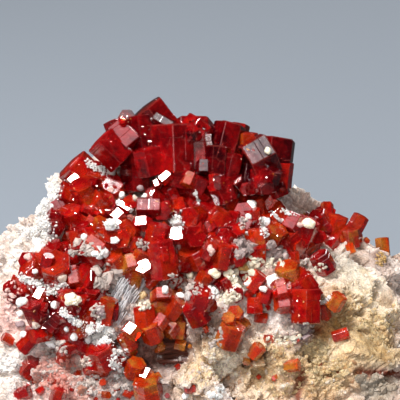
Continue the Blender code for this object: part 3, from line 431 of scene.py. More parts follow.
def display_plane(turn):
    """The plane's right, up and towards-the-viewer directions, turned about the upright."""
    turn = math.radians(turn)
    rise = VIEW_ELEVATION
    right = (math.cos(turn), math.sin(turn), 0.0)
    out = (math.sin(turn), -math.cos(turn))
    up = (-out[0] * math.sin(rise), -out[1] * math.sin(rise), math.cos(rise))
    near = (out[0] * math.cos(rise), out[1] * math.cos(rise), math.sin(rise))
    return np.array((right, up, near))


FRONT = display_plane(0)


def display_point(plane, right, up, near):
    """The point on the sight line through (right, up) that is near millimetres closer."""
    share = 1.0 - np.asarray(near) / VIEW_DISTANCE
    across = np.stack(np.broadcast_arrays(right * share, up * share, near), axis=-1)
    return VIEW_TARGET + across @ plane


def seats(plane, rights, ups, radius_of):
    """How near the rock is where each sight line first meets it.

    A line that passes over the rock gives the place where it comes closest to it.
    """
    nears = np.arange(SIGHT_REACH, -SIGHT_REACH, -SIGHT_STEP)
    ray = display_point(plane, rights[:, None], ups[:, None], nears[None, :]) - HEART
    distance = np.linalg.norm(ray, axis=-1)
    above = distance - radius_of(ray / distance[..., None])
    above = np.where(ray[..., 2] > 0.0, above, np.inf)
    met = np.argmax(above < 0.0, axis=1)
    return nears[np.where(above.min(axis=1) < 0.0, met, np.argmin(above, axis=1))]


def seen_places(rows, radius_of):
    """The points of a surface that rows of right, up and more name, seen from the front."""
    rights, ups = np.array([row[:2] for row in rows]).T
    return display_point(FRONT, rights, ups, seats(FRONT, rights, ups, radius_of))


RELIEF_CENTRES = seen_places(RELIEF, plain_radius)


def rock_radius(directions):
    """Distance from the heart to the rock's real surface: form, broken faces, lumps, pits."""
    radius = plain_radius(directions)
    points = HEART + directions * radius[..., None]
    for size, step, slope, seed in BROKEN_FACES:
        radius = radius + broken_faces(points, size, step, slope, seed)
    radius = layered(radius, points, LUMPS)
    for centre, (_, _, reach, height) in zip(RELIEF_CENTRES, RELIEF):
        away = np.sum((points - centre) ** 2, axis=-1)
        radius = radius + height * np.exp(-away / (2.0 * (reach / 2.0) ** 2))
    return radius


def crystal_axes(plane, right, up, aim, lean, spin):
    """The crystal's axis and the normal of its turned side face, in world directions.

    A spin that is a direction n turns a side that way, so the lean becomes the one that sets
    the axis square to n: -atan((n.right cos aim + n.up sin aim) / n.near).
    """
    aim, lean = math.radians(aim), math.radians(lean)
    mirrors = isinstance(spin, np.ndarray)
    if mirrors:
        spin = spin + MIRROR_SHIFT * (right, up, 0.0)
        lean = -math.atan((spin[0] * math.cos(aim) + spin[1] * math.sin(aim)) / spin[2])
    axis = np.array((math.cos(lean) * math.cos(aim), math.cos(lean) * math.sin(aim), math.sin(lean)))
    facing = np.array((0.0, 0.0, 1.0)) - axis[2] * axis
    facing /= np.linalg.norm(facing)
    across = np.cross(axis, facing)
    turn = math.atan2(across @ spin, facing @ spin) if mirrors else math.radians(spin)
    side = facing * math.cos(turn) + across * math.sin(turn)
    return axis @ plane, side @ plane


def axes_of(plane, rows):
    """The axes and the turned sides of crystals, each row its right, up, aim, lean and spin."""
    frames = np.array([crystal_axes(plane, *row) for row in rows])
    return frames[:, 0], frames[:, 1]


def draws(kind, number=0):
    """The random draws of one piece of a kind."""
    return np.random.default_rng(SEEDS[kind] + number)


def unit(vectors):
    """The vectors at length one."""
    return vectors / np.linalg.norm(vectors, axis=1)[:, None]


def linear(colour):
    """A colour property as an array."""
    return np.array(colour[:3])


def new_piece(name, points, faces, finish, attributes=()):
    """Make one object from points in millimetres and faces, and let it ride on the body.

    Each attribute is (name, kind, domain, numbers for every point or face of the mesh).
    """
    mesh = bpy.data.meshes.new(name)
    mesh.from_pydata((points * MM).tolist(), [], faces)
    for label, kind, domain, values in attributes:
        layer = mesh.attributes.new(label, kind, domain)
        field = "color" if kind == "FLOAT_COLOR" else "value"
        layer.data.foreach_set(field, np.ascontiguousarray(values, dtype=np.float32).ravel())
    mesh.materials.append(finish)
    mesh.validate()
    piece = bpy.data.objects.new(name, mesh)
    bpy.context.scene.collection.objects.link(piece)
    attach(piece, BODY)
    return piece


def tinted_piece(name, points, faces, finish, tints):
    """A piece of the rock or of its minerals, with a tint at every point."""
    colours = np.concatenate((tints, np.ones((len(tints), 1))), axis=1)
    return new_piece(name, points, faces, finish,
                     (("tint", "FLOAT_COLOR", "POINT", colours),))


# ---- materials ----

# The range that a noise texture's values mostly keep to.
NOISE_RANGE = (0.3, 0.7)


def node(tree, kind, **inputs):
    """Add a shader node and set its unlinked inputs by name."""
    made = tree.nodes.new(kind)
    for label, value in inputs.items():
        made.inputs[label.replace("_", " ")].default_value = value
    return made


def math_node(tree, operation, *values):
    """Add a Math node with its numbers; None leaves a place for a link."""
    made = tree.nodes.new("ShaderNodeMath")
    made.operation = operation
    for socket, value in zip(made.inputs, values):
        if value is not None:
            socket.default_value = value
    return made


def range_node(tree, taken, given):
    """Add a Map Range node that takes one range of values to another."""
    return node(tree, "ShaderNodeMapRange", From_Min=taken[0], From_Max=taken[1],
                To_Min=given[0], To_Max=given[1])


def wire(tree, *joints):
    """Link nodes: each joint is a node and its output, then a node and its input."""
    for source, output, target, place in joints:
        tree.links.new(source.outputs[output], target.inputs[place])


def new_group(name, inputs, outputs):
    """A node group with the kinds of its named sockets, and its input and output nodes."""
    group = bpy.data.node_groups.new(name, "ShaderNodeTree")
    for way, sockets in (("INPUT", inputs), ("OUTPUT", outputs)):
        for label, kind in sockets.items():
            group.interface.new_socket(label, in_out=way, socket_type="NodeSocket" + kind)
    return group, group.nodes.new("NodeGroupInput"), group.nodes.new("NodeGroupOutput")


def mottle_group():
    """A group that mottles a colour: Colour times a noise about one, and the noise itself."""
    inputs = {"Colour": "Color", "Size": "Float", "Amount": "Float"}
    group, into, out = new_group("mottle", inputs, {"Colour": "Color", "Height": "Float"})
    place = group.nodes.new("ShaderNodeTexCoord")
    noise = node(group, "ShaderNodeTexNoise", Detail=4.0, Roughness=0.65)
    scale = math_node(group, "DIVIDE", 1.0)
    centred = range_node(group, NOISE_RANGE, (-1.0, 1.0))
    amount = math_node(group, "MULTIPLY_ADD", None, None, 1.0)
    tinted = group.nodes.new("ShaderNodeVectorMath")
    tinted.operation = "SCALE"
    wire(group,
         (place, "Object", noise, "Vector"), (into, "Size", scale, 1),
         (scale, 0, noise, "Scale"), (noise, "Fac", centred, "Value"),
         (centred, "Result", amount, 0), (into, "Amount", amount, 1),
         (into, "Colour", tinted, 0), (amount, 0, tinted, "Scale"),
         (tinted, 0, out, "Colour"), (noise, "Fac", out, "Height"))
    return group


def fracture_group():
    """A group for thin inner cracks: a mask of the borders of cells, here and there."""
    group, into, out = new_group("fractures", {"Size": "Float"}, {"Mask": "Float"})
    place = group.nodes.new("ShaderNodeTexCoord")
    scale = math_node(group, "DIVIDE", 1.0)
    cells = group.nodes.new("ShaderNodeTexVoronoi")
    cells.feature = "DISTANCE_TO_EDGE"
    border = range_node(group, (0.0, 0.045), (1.0, 0.0))
    patches = node(group, "ShaderNodeTexNoise", Detail=2.0)
    there = range_node(group, (0.5, 0.62), (0.0, 1.0))
    both = math_node(group, "MULTIPLY")
    wire(group,
         (into, "Size", scale, 1),
         (place, "Object", cells, "Vector"), (scale, 0, cells, "Scale"),
         (place, "Object", patches, "Vector"), (scale, 0, patches, "Scale"),
         (cells, "Distance", border, "Value"), (patches, "Fac", there, "Value"),
         (border, "Result", both, 0), (there, "Result", both, 1),
         (both, 0, out, "Mask"))
    return group


def place_group(tree, make, name, **values):
    """Put the node group of that name, made once, into a material with its own values."""
    made = tree.nodes.new("ShaderNodeGroup")
    made.node_tree = bpy.data.node_groups.get(name) or make()
    for label, value in values.items():
        made.inputs[label].default_value = value
    return made


def mottled(tree, **values):
    """Put the mottling into a material."""
    return place_group(tree, mottle_group, "mottle", **values)


def new_material(name, **inputs):
    """A material with a Principled shader and its inputs: the material, its tree, the shader."""
    made = bpy.data.materials.new(name)
    made.use_nodes = True
    shader = made.node_tree.nodes["Principled BSDF"]
    for label, value in inputs.items():
        shader.inputs[label.replace("_", " ")].default_value = value
    return made, made.node_tree, shader


def attribute_node(tree, name):
    """A node that reads one of the piece's own attributes."""
    made = tree.nodes.new("ShaderNodeAttribute")
    made.attribute_name = name
    return made


def mineral_material(name, roughness, mottle_size, mottle_amount, bump):
    """Rock, grains or beads: the tint attribute, mottled, with a rough sugary bump."""
    made, tree, shader = new_material(name, Subsurface_Weight=0.5, Subsurface_Scale=0.0012,
                                      Subsurface_Radius=(1.0, 0.85, 0.7))
    tint = attribute_node(tree, "tint")
    coarse = mottled(tree, Size=mottle_size, Amount=mottle_amount)
    fine = mottled(tree, Size=mottle_size / 4.0, Amount=mottle_amount)
    height = node(tree, "ShaderNodeBump", Strength=bump, Distance=mottle_size / 6.0)
    rough = range_node(tree, (0.0, 1.0), (roughness - 0.25, min(1.0, roughness + 0.25)))
    wire(tree,
         (tint, "Color", coarse, "Colour"), (coarse, "Colour", fine, "Colour"),
         (fine, "Colour", shader, "Base Color"), (coarse, "Height", rough, "Value"),
         (rough, "Result", shader, "Roughness"), (fine, "Height", height, "Height"),
         (height, "Normal", shader, "Normal"))
    return made


def quartz_material(name):
    """Cloudy quartz: the tint attribute, partly let through, with glassy faces."""
    made, tree, shader = new_material(name, IOR=1.54, Transmission_Weight=0.1,
                                      Subsurface_Weight=0.6, Subsurface_Scale=0.0008,
                                      Subsurface_Radius=(1.0, 0.9, 0.85))
    tint = attribute_node(tree, "tint")
    cloud = mottled(tree, Size=0.0007, Amount=0.12)
    rough = range_node(tree, (0.0, 1.0), (0.35, 0.8))
    wire(tree,
         (tint, "Color", cloud, "Colour"), (cloud, "Colour", shader, "Base Color"),
         (cloud, "Height", rough, "Value"), (rough, "Result", shader, "Roughness"))
    return made


def crystal_material(name, settings, absorption):
    """See-through red: a tone from maroon to amber, veils, striae, absorption inside, and a painted
    highlight along the edges.
    """
    made, tree, shader = new_material(name, IOR=settings.ior,
                                      Transmission_Weight=settings.clearness)
    tone, along, edge = (attribute_node(tree, label) for label in ("tone", "along", "edge"))
    # Painted highlight: the edge attribute, times its strength, turns the colour towards a pale one that
    # stands in for light caught along the edges.
    edge_highlight = math_node(tree, "MULTIPLY", None, settings.edge_highlight_strength)
    cracks = place_group(tree, fracture_group, "fractures", Size=0.0016)
    inner = math_node(tree, "MULTIPLY", None, settings.fractures)
    most = math_node(tree, "MAXIMUM")
    drift = mottled(tree, Size=0.0034)
    spread = range_node(tree, NOISE_RANGE, (-0.24, 0.24))
    varied = math_node(tree, "ADD")
    paler = tree.nodes.new("ShaderNodeMix")
    paler.data_type = "RGBA"
    paler.inputs["B"].default_value = (*settings.edge_highlight, 1.0)
    ramp = tree.nodes.new("ShaderNodeValToRGB")
    elements = ramp.color_ramp.elements
    elements[0].position, elements[0].color = 0.0, (*settings.maroon, 1.0)
    elements[1].position, elements[1].color = 1.0, (*settings.amber, 1.0)
    elements.new(0.45).color = (*settings.red, 1.0)
    elements.new(0.8).color = (*settings.orange, 1.0)
    veil = mottled(tree, Size=0.0026, Amount=0.42)
    fleck = mottled(tree, Size=0.0006, Amount=0.16)
    striae = node(tree, "ShaderNodeTexNoise", Detail=3.0, Roughness=0.6, Scale=5.0)
    striae.noise_dimensions = "1D"
    bump = node(tree, "ShaderNodeBump", Strength=0.14, Distance=0.00004)
    rough = range_node(tree, (0.0, 1.0), (0.02, 0.2))
    depth = node(tree, "ShaderNodeVolumeAbsorption", Density=settings.density,
                 Color=(*absorption, 1.0))
    wire(tree,
         (drift, "Height", spread, "Value"), (tone, "Fac", varied, 0),
         (spread, "Result", varied, 1), (varied, 0, ramp, "Fac"),
         (ramp, "Color", veil, "Colour"), (veil, "Colour", fleck, "Colour"),
         (edge, "Fac", edge_highlight, 0), (cracks, "Mask", inner, 0),
         (edge_highlight, 0, most, 0), (inner, 0, most, 1), (most, 0, paler, "Factor"),
         (fleck, "Colour", paler, "A"), (paler, "Result", shader, "Base Color"),
         (along, "Fac", striae, "W"), (striae, "Fac", bump, "Height"),
         (bump, "Normal", shader, "Normal"), (fleck, "Height", rough, "Value"),
         (rough, "Result", shader, "Roughness"),
         (depth, "Volume", tree.nodes["Material Output"], "Volume"))
    return made


def shared_material(name, make, *values):
    """The material of that name, made once."""
    return bpy.data.materials.get(name) or make(name, *values)


# ---- rock ----

# How far the rock's columns are pulled to its front; and its finish: roughness, size and
# amount of the mottling in metres, bump.
ROCK_CROWDING = 0.5
ROCK_FINISH = (0.8, 0.0008, 0.3, 0.8)



def on_display(points):
    """Right and up of the sight line through each point: right / (1 - near / distance)."""
    local = (points - VIEW_TARGET) @ FRONT.T
    return local[..., :2] / (1.0 - local[..., 2:] / VIEW_DISTANCE)


def crack_share(points):
    """How far each point of the front lies in a crack, 0 to 1, by its distance from its line."""
    places = on_display(points)
    for size, amount, seed in CRACK_BENDS:
        places = places + amount * smooth_noise(points, size, seed)[..., None]
    most = np.zeros(points.shape[:-1])
    for right, up, end_right, end_up, reach in CRACKS:
        start, line = np.array((right, up)), np.array((end_right - right, end_up - up))
        along = np.clip((places - start) @ line / (line @ line), 0.0, 1.0)
        away = np.sum((places - start - along[..., None] * line) ** 2, axis=-1)
        most = np.maximum(most, np.exp(-away / reach ** 2))
    return most * (points[..., 1] < RIDGE_Y)


def smooth_share(points):
    """How far each point of the front lies in a smooth mass, 0 to 1."""
    places = on_display(points)
    most = np.zeros(points.shape[:-1])
    for right, up, reach in SMOOTH_ZONES:
        away = np.sum((places - (right, up)) ** 2, axis=-1)
        most = np.maximum(most, np.exp(-((away / reach ** 2) ** 2)))
    return most * (points[..., 1] < RIDGE_Y)


def fine_radius(directions):
    """The rock's real surface with the fine faces, lumps and cracks its solid leaves out."""
    radius = rock_radius(directions)
    points = HEART + directions * radius[..., None]
    fine = np.zeros(radius.shape)
    for size, step, slope, seed in FINE_FACES:
        fine = fine + broken_faces(points, size, step, slope, seed)
    fine = layered(fine, points, FINE_LUMPS) * (1.0 - SMOOTHING * smooth_share(points))
    return radius + fine - CRACK_DEPTH * crack_share(points)


def dome(columns, rows, crowding):
    """Rows and columns of directions about the heart, each column's turn pulled to the front.

    A column's azimuth is its even turn less crowding times the sine of the turn from the
    front, so columns lie closest together where the rock faces the viewer.
    """
    turn = np.arange(columns) / columns * FULL_TURN
    azimuth = turn - crowding * np.sin(turn + math.pi / 2.0)
    height = np.arange(rows) / rows * math.pi / 2.0
    azimuth, height = np.meshgrid(azimuth, height)
    level = np.cos(height)
    return np.stack((np.cos(azimuth) * level, np.sin(azimuth) * level, np.sin(height)), -1)


def wrap_quads(rows, columns):
    """Quads of a grid whose columns close into rings, as whole arrays."""
    low = np.arange(rows - 1)[:, None] * columns + np.arange(columns)[None, :]
    after = np.arange(rows - 1)[:, None] * columns + (np.arange(columns)[None, :] + 1) % columns
    return np.stack((low, after, after + columns, low + columns), axis=-1).reshape(-1, 4)


def end_fans(rows, columns, low_pole, high_pole):
    """Triangles that close such a grid: its first ring to one pole, its last to the other."""
    index = np.arange(columns)
    after = (index + 1) % columns
    last = (rows - 1) * columns
    low = np.stack((after, index, np.full(columns, low_pole)), axis=-1)
    high = np.stack((last + index, last + after, np.full(columns, high_pole)), axis=-1)
    return low, high


def solids_faces(rows, columns, count, begin=0):
    """Faces of many closed grids of one kind, each followed by its low and high pole."""
    per_solid = rows * columns + 2
    low, high = end_fans(rows, columns, per_solid - 2, per_solid - 1)
    first = begin + np.arange(count)[:, None, None] * per_solid
    faces = (first + wrap_quads(rows, columns)).reshape(-1, 4).tolist()
    return faces + (first + low).reshape(-1, 3).tolist() + (first + high).reshape(-1, 3).tolist()


def zone_tints(points, settings, seed):
    """The rock's colour at each point: pale and beige by noise, zones laid over, among them painted shade
    in hollows and a patch of painted light, and dark cracks, partly painted shade.
    """
    pale, beige = linear(settings.pale), linear(settings.beige)
    middle, contrast, size = GROUND_MIX
    blend = np.clip(middle + contrast * smooth_noise(points, size, seed), 0.0, 1.0)[:, None]
    colours = pale * blend + beige * (1.0 - blend)
    centres = seen_places(TINT_ZONES, rock_radius)
    edge = layered(1.0, points, ZONE_EDGE, seed)
    for centre, (_, _, reach, label, strength) in zip(centres, TINT_ZONES):
        away = np.sum((points - centre) ** 2, axis=1) * edge
        share = strength * np.exp(-((away / reach ** 2) ** 1.5))[:, None]
        colours = colours * (1.0 - share) + linear(getattr(settings, label)) * share
    deep = np.clip(layered(0.0, points, PATCHES, seed), *PATCH_DEPTHS)
    colours = colours ** (1.0 + DEEPENING * deep[:, None])
    cell = broken_faces(points, FACET_SIZE, 1.0, 0.0, seed + 2)[:, None]
    colours = colours * (1.0 + FACET_LIGHT * cell)
    # Cracks take a dark red-brown: partly their real stain, partly painted shade at their bottom.
    share = crack_share(points)[:, None] * CRACK_STAIN_AND_SHADE
    colours = colours * (1.0 - share) + linear(settings.crack_stain_and_shade) * share
    return np.clip(colours, 0.0, 1.0)


class SPECIMEN_OT_rock(bpy.types.Operator):
    """Build the rock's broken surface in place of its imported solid"""
    bl_idname = "specimen.rock"
    bl_label = "Rock"

    def execute(self, context):
        settings = context.scene.specimen_rock
        columns, rows = settings.columns, settings.rows
        directions = dome(columns, rows, ROCK_CROWDING)
        radius = fine_radius(directions)
        ring = HEART + directions * radius[..., None]
        ring[0, :, 2] = 0.0
        upright = np.array((0.0, 0.0, 1.0))
        pole = HEART + upright * fine_radius(upright[None, :])[0]
        points = np.vstack((ring.reshape(-1, 3), pole, HEART))
        base, cap = end_fans(rows, columns, len(points) - 1, len(points) - 2)
        faces = wrap_quads(rows, columns).tolist() + cap.tolist() + base.tolist()
        finish = shared_material("granular_rock", mineral_material, *ROCK_FINISH)
        tints = zone_tints(points, settings, SEEDS["rock"])
        piece = tinted_piece(ROCK, points, faces, finish, tints)
        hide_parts("matrix")
        return {"FINISHED"}


# ---- crystals ----

# How far a crystal's tone can be from that of its row or its area.
TONE_SPREAD = 0.1


def area_crystals(plane, rows, seated, tone, chance):
    """Every crystal of an area as arrays: centre, width, length, axis, side, tone."""
    right, up, near, width, length = np.array([row[:5] for row in rows]).T
    axis, side = axes_of(plane, [row[:2] + row[5:8] for row in rows])
    if seated:
        facing = np.abs(axis @ plane[2])
        reach = facing * length / 2.0 + np.sqrt(1.0 - facing * facing) * width / 2.0
        near = seats(plane, right, up, rock_radius) + RISE_SHARE * reach + near
    centre = display_point(plane, right, up, near)
    tones = np.array([row[8] if len(row) > 8 else tone for row in rows])
    tones = tones + chance.uniform(-TONE_SPREAD, TONE_SPREAD, len(rows))
    return centre, width, length, axis, side, tones


# Blocks on a crystal, least and greatest: width and length as shares of the crystal's, and how
# proud they stand, as a share of the root of its width. Then how many grow on an end face, how
# many of these on the upper one, and how far their axes and tones stray.
BLOCK_WIDTHS = (0.18, 0.5)
BLOCK_LENGTHS = (0.2, 0.7)
BLOCK_PRIDE = (0.01, 0.055)
ON_END = 0.4
ON_TOP = 0.8
BLOCK_TILT = 0.006
BLOCK_TONE = 0.08


def blocks_on(crystals, plain, chance, per_crystal):
    """Smaller prisms that grew parallel to the plain ones and stand a little proud of them."""
    centre, width, length, axis, side, tone = crystals
    parent = np.repeat(np.flatnonzero(plain), per_crystal)
    count = len(parent)
    wide, long = width[parent], length[parent]
    small_width = wide * chance.uniform(*BLOCK_WIDTHS, count)
    small_length = long * chance.uniform(*BLOCK_LENGTHS, count)
    proud = chance.uniform(*BLOCK_PRIDE, count) * np.sqrt(wide)
    across = np.cross(axis, side)
    turn = np.floor(chance.uniform(0.0, SIDES, count)) * SIDE_TURN
    normal = side[parent] * np.cos(turn)[:, None] + across[parent] * np.sin(turn)[:, None]
    along_face = across[parent] * np.cos(turn)[:, None] - side[parent] * np.sin(turn)[:, None]
    on_end = chance.uniform(0.0, 1.0, count) < ON_END
    out = wide / 2.0 + proud - small_width / 2.0
    slide = chance.uniform(-0.5, 0.5, count) * (wide / math.sqrt(3.0) - small_width * 0.6)
    rise = chance.uniform(-0.5, 0.5, count) * (long - small_length)
    out = np.where(on_end, chance.uniform(0.0, 1.0, count) * (wide - small_width) / 2.2, out)
    end = np.where(chance.uniform(0.0, 1.0, count) < ON_TOP, 1.0, -1.0)
    rise = np.where(on_end, end * (long / 2.0 + proud - small_length / 2.0), rise)
    place = centre[parent] + normal * out[:, None] + along_face * slide[:, None]
    place = place + axis[parent] * rise[:, None]
    new_axis = unit(axis[parent] + chance.normal(0.0, BLOCK_TILT, (count, 3)))
    new_side = unit(side[parent] - new_axis * np.sum(side[parent] * new_axis, axis=1)[:, None])
    new_tone = tone[parent] + chance.uniform(-BLOCK_TONE, BLOCK_TONE, count)
    return place, small_width, small_length, new_axis, new_side, new_tone


def joined(sets):
    """Sets of crystal arrays end to end."""
    return tuple(np.concatenate(arrays) for arrays in zip(*sets))


# Rings of a crystal from end to end: share of the half-length, extra height and inset, both
# as shares of the width, and how far the ring follows the first and second growth ledge.
BEVEL = 0.035
RINGS = np.array((
    (-1.0, 0.0, BEVEL, 0, 0),
    (-1.0, BEVEL, 0.0, 0, 0),
    (0.0, -0.01, 0.0, 0, 0),
    (0.0, 0.01, 0.0, 1, 0),
    (0.5, -0.01, 0.0, 1, 0),
    (0.5, 0.01, 0.0, 1, 1),
    (1.0, -BEVEL, 0.0, 1, 1),
    (1.0, 0.0, BEVEL, 1, 1),
    (1.0, 0.0, 0.12, 1, 1),
    (1.0, 0.02, 0.135, 1, 1),
    (1.0, 0.02, 0.24, 1, 1),
    (1.0, 0.035, 0.255, 1, 1),
))
# The same for the many small ones, with neither growth ledges nor terraces.
SHORT_RINGS = np.array((
    (-1.0, 0.0, 0.0, 0, 0),
    (1.0, -BEVEL, 0.0, 0, 0),
    (1.0, 0.0, BEVEL, 0, 0),
))

# How far the tone of one face of a crystal can be from that of the next.
FACE_SHADE = 0.12
# How uneven crystals are: the distance of a side, as a share of half the width; the ledges, as
# shares of the width; where the ledges are, as a share of the half-length; and how many have
# their last terrace raised, not sunk.
SIDE_SPREAD = (-0.07, 0.05)
LEDGE_SPREAD = (-0.012, 0.02)
LEDGE_SHIFT = 0.25
RAISED_TERRACES = 0.7
# How far a corner is cut back along each of its two sides, as a share of the width.
CHAMFER = 0.018


def prisms(crystals, ring, chance, begin=0):
    """Uneven six-sided prisms: points, faces, each point's distance along the axis, and for each face its
    crystal, its own shade and how far it carries the painted edge highlight.

    A ring is a hexagon given by the distance of its six sides from the axis. Two sides that
    meet at 60 degrees share the corner (d2 - d1 cos 60) / sin 60 along the first side, and
    each corner is cut by a narrow chamfer, so a ring has twelve points.
    """
    centre, width, length, axis, side, _ = crystals
    count, rings = len(width), len(ring)
    edge_highlight = (np.diff(ring[:, 1]) != 0.0) & (np.diff(ring[:, 2]) != 0.0)
    on_end = (ring[:-1, 0] > 0.0) & (ring[:-1, 2] > 0.0)
    uneven = 1.0 + chance.uniform(*SIDE_SPREAD, (count, SIDES))
    ledge = chance.uniform(*LEDGE_SPREAD, (count, 2))
    shift = chance.uniform(-LEDGE_SHIFT, LEDGE_SHIFT, (count, 2))
    steps = ledge[:, 0:1] * ring[:, 3] + ledge[:, 1:2] * ring[:, 4]
    inset = width[:, None] * (ring[:, 2] + steps)
    terrace = np.where(chance.uniform(0.0, 1.0, (count, 1)) < RAISED_TERRACES, 1.0, -1.0)
    height = np.where(ring[:, 2] > BEVEL, terrace, 1.0) * ring[:, 1]
    share = ring[:, 0] + np.where(ring[:, 0] == 0.0, shift[:, 0:1], 0.0)
    share = share + np.where(ring[:, 0] == 0.5, shift[:, 1:2], 0.0)
    along = length[:, None] / 2.0 * share + width[:, None] * height
    reach = (width[:, None, None] / 2.0) * uneven[:, None, :] - inset[:, :, None]
    after, before = np.roll(reach, -1, axis=2), np.roll(reach, 1, axis=2)
    sine, cosine = math.sin(SIDE_TURN), 0.5
    cut = CHAMFER * width[:, None, None]
    finish = (after - reach * cosine) / sine - cut
    start = -(before - reach * cosine) / sine + cut
    turn = np.arange(SIDES) * SIDE_TURN
    across = np.cross(axis, side)
    normal = side[:, None] * np.cos(turn)[:, None] + across[:, None] * np.sin(turn)[:, None]
    tangent = across[:, None] * np.cos(turn)[:, None] - side[:, None] * np.sin(turn)[:, None]
    middle = centre[:, None, None] + axis[:, None, None] * along[..., None, None]
    flat = middle + normal[:, None] * reach[..., None]
    corners = np.stack((flat + tangent[:, None] * start[..., None],
                        flat + tangent[:, None] * finish[..., None]), axis=3)
    per_ring = SIDES * 2
    body = corners.reshape(count, rings * per_ring, 3)
    ends = np.stack((middle[:, 0, 0], middle[:, -1, 0]), axis=1)
    points = np.concatenate((body, ends), axis=1)
    distance = np.concatenate((np.repeat(along, per_ring, axis=1), along[:, [0, -1]]), axis=1)
    # Painted highlight: the chamfers along the sides and the bevelled bands get an edge value, which the
    # material turns pale as if they caught the light.
    edge = np.zeros((count, rings - 1, per_ring))
    edge[:, ~on_end, 1::2] = 1.0
    edge[:, edge_highlight] = 1.0
    edge = edge * chance.uniform(0.0, 1.0, (count, 1, 1)) ** 2
    shade = chance.uniform(-1.0, 1.0, (count, 1, SIDES)).repeat(2, axis=2).repeat(rings - 1, axis=1)
    shade[:, on_end] = chance.uniform(-1.0, 1.0, (count, 1, 1))
    ends_shade = np.repeat(shade[:, (0, -1), 0].T[..., None], per_ring, axis=2)
    edge = np.concatenate((edge.ravel(), np.zeros(2 * count * per_ring)))
    shade = np.concatenate((shade.ravel(), ends_shade.ravel()))
    faces = solids_faces(rings, per_ring, count, begin)
    owner = np.concatenate((np.repeat(np.arange(count), (rings - 1) * per_ring),
                            np.tile(np.repeat(np.arange(count), per_ring), 2)))
    return points.reshape(-1, 3), faces, distance.ravel(), (owner, shade, edge)


def nodes_of(area):
    """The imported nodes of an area: its own name, and the same with a number."""
    return [name for name in sorted(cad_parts)
            if name == area or name[:len(area) + 1] == area + "_" and name[len(area) + 1:].isdigit()]


def crystal_piece(name, sets, slot_name, settings, chance):
    """One piece of many crystals, each with its tone, from sets of crystals and their rings."""
    parts, faces, begin = [], [], 0
    for crystals, ring in sets:
        points, made_faces, along, (owner, shade, edge) = prisms(crystals, ring, chance, begin)
        parts.append((points, along, crystals[5][owner] + FACE_SHADE * shade, edge))
        faces += made_faces
        begin += len(points)
    points, along, tone, edge = joined(parts)
    tone = np.clip(tone, 0.0, 1.0)
    label, absorption = "red_vanadinite", settings.red_absorption
    if slot_name == ORANGE:
        label, absorption = "orange_vanadinite", settings.orange_absorption
    finish = shared_material(label, crystal_material, settings, tuple(absorption))
    return new_piece(name, points, faces, finish,
                     (("tone", "FLOAT", "FACE", tone), ("edge", "FLOAT", "FACE", edge),
                      ("along", "FLOAT", "POINT", along)))


class SPECIMEN_OT_crystals(bpy.types.Operator):
    """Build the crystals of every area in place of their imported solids"""
    bl_idname = "specimen.crystals"
    bl_label = "Crystals"

    def execute(self, context):
        settings = context.scene.specimen_crystals
        for index, (name, area, rows, seated, turn, tone, slot_name) in enumerate(AREAS):
            chance = draws("crystals", index)
            plane = display_plane(turn)
            crystals = area_crystals(plane, rows, seated, tone, draws("tones", index))
            bright = np.array([isinstance(row[7], np.ndarray) for row in rows])
            plain = ~bright & (crystals[1] >= settings.block_width / MM)
            blocks = blocks_on(crystals, plain, chance, settings.blocks)
            sets = ((crystals, RINGS), (blocks, SHORT_RINGS))
            piece = crystal_piece(name, sets, slot_name, settings, chance)
            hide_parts(*nodes_of(area))
        return {"FINISHED"}


# Crowds of small crystals between the big ones: right, up, half width and half height of the
# patch, how many, least and greatest width, tone, the piece they grow on.
CROWDS = (
    (2.8, -5.0, 4.8, 7.5, 56, 1.0, 2.6, 0.45, ROCK), (-13.0, -2.0, 4.5, 5.5, 44, 1.0, 2.5, 0.55, ROCK),
    (-5.0, -4.5, 5.0, 6.5, 46, 1.0, 2.5, 0.52, ROCK), (11.5, -4.4, 6.3, 3.2, 40, 1.0, 2.4, 0.55, ROCK),
    (19.2, -4.6, 1.8, 1.6, 12, 0.6, 1.4, 0.7, ROCK), (16.4, -2.6, 1.6, 0.8, 12, 0.6, 1.4, 0.65, ROCK),
    (11.0, -12.2, 5.0, 3.4, 22, 0.6, 1.5, 0.6, ROCK), (-17.4, -12.5, 5.7, 6.2, 58, 1.0, 2.4, 0.4, ROCK),
    (-3.4, -15.0, 4.8, 4.0, 36, 0.5, 1.5, 0.7, ROCK), (-11.0, -19.0, 4.0, 1.8, 22, 0.5, 1.6, 0.6, ROCK),
    (-11.0, -22.5, 12.0, 2.5, 26, 0.4, 1.0, 0.6, ROCK), (-1.0, 2.0, 11.0, 1.2, 36, 0.8, 2.2, 0.22, ROCK),
    (10.0, -19.6, 5.0, 3.0, 8, 0.4, 1.0, 0.85, ROCK),
    (-0.8, 8.6, 1.2, 1.4, 10, 0.5, 1.2, 0.2, "crown_crystals"),
    (-9.6, 9.2, 1.2, 0.8, 5, 0.5, 1.1, 0.3, "crown_crystals"),
    (4.8, 2.0, 3.2, 0.9, 7, 0.8, 1.9, 0.25, "crown_crystals"),
    (9.0, 2.2, 2.0, 1.6, 5, 0.8, 1.7, 0.3, "crown_crystals"),
    (-12.0, -0.5, 3.6, 3.6, 14, 0.5, 1.2, 0.5, "left_crystals"),
    (-17.4, -12.0, 4.6, 4.6, 16, 0.6, 1.4, 0.35, "lower_left_crystals"),
)

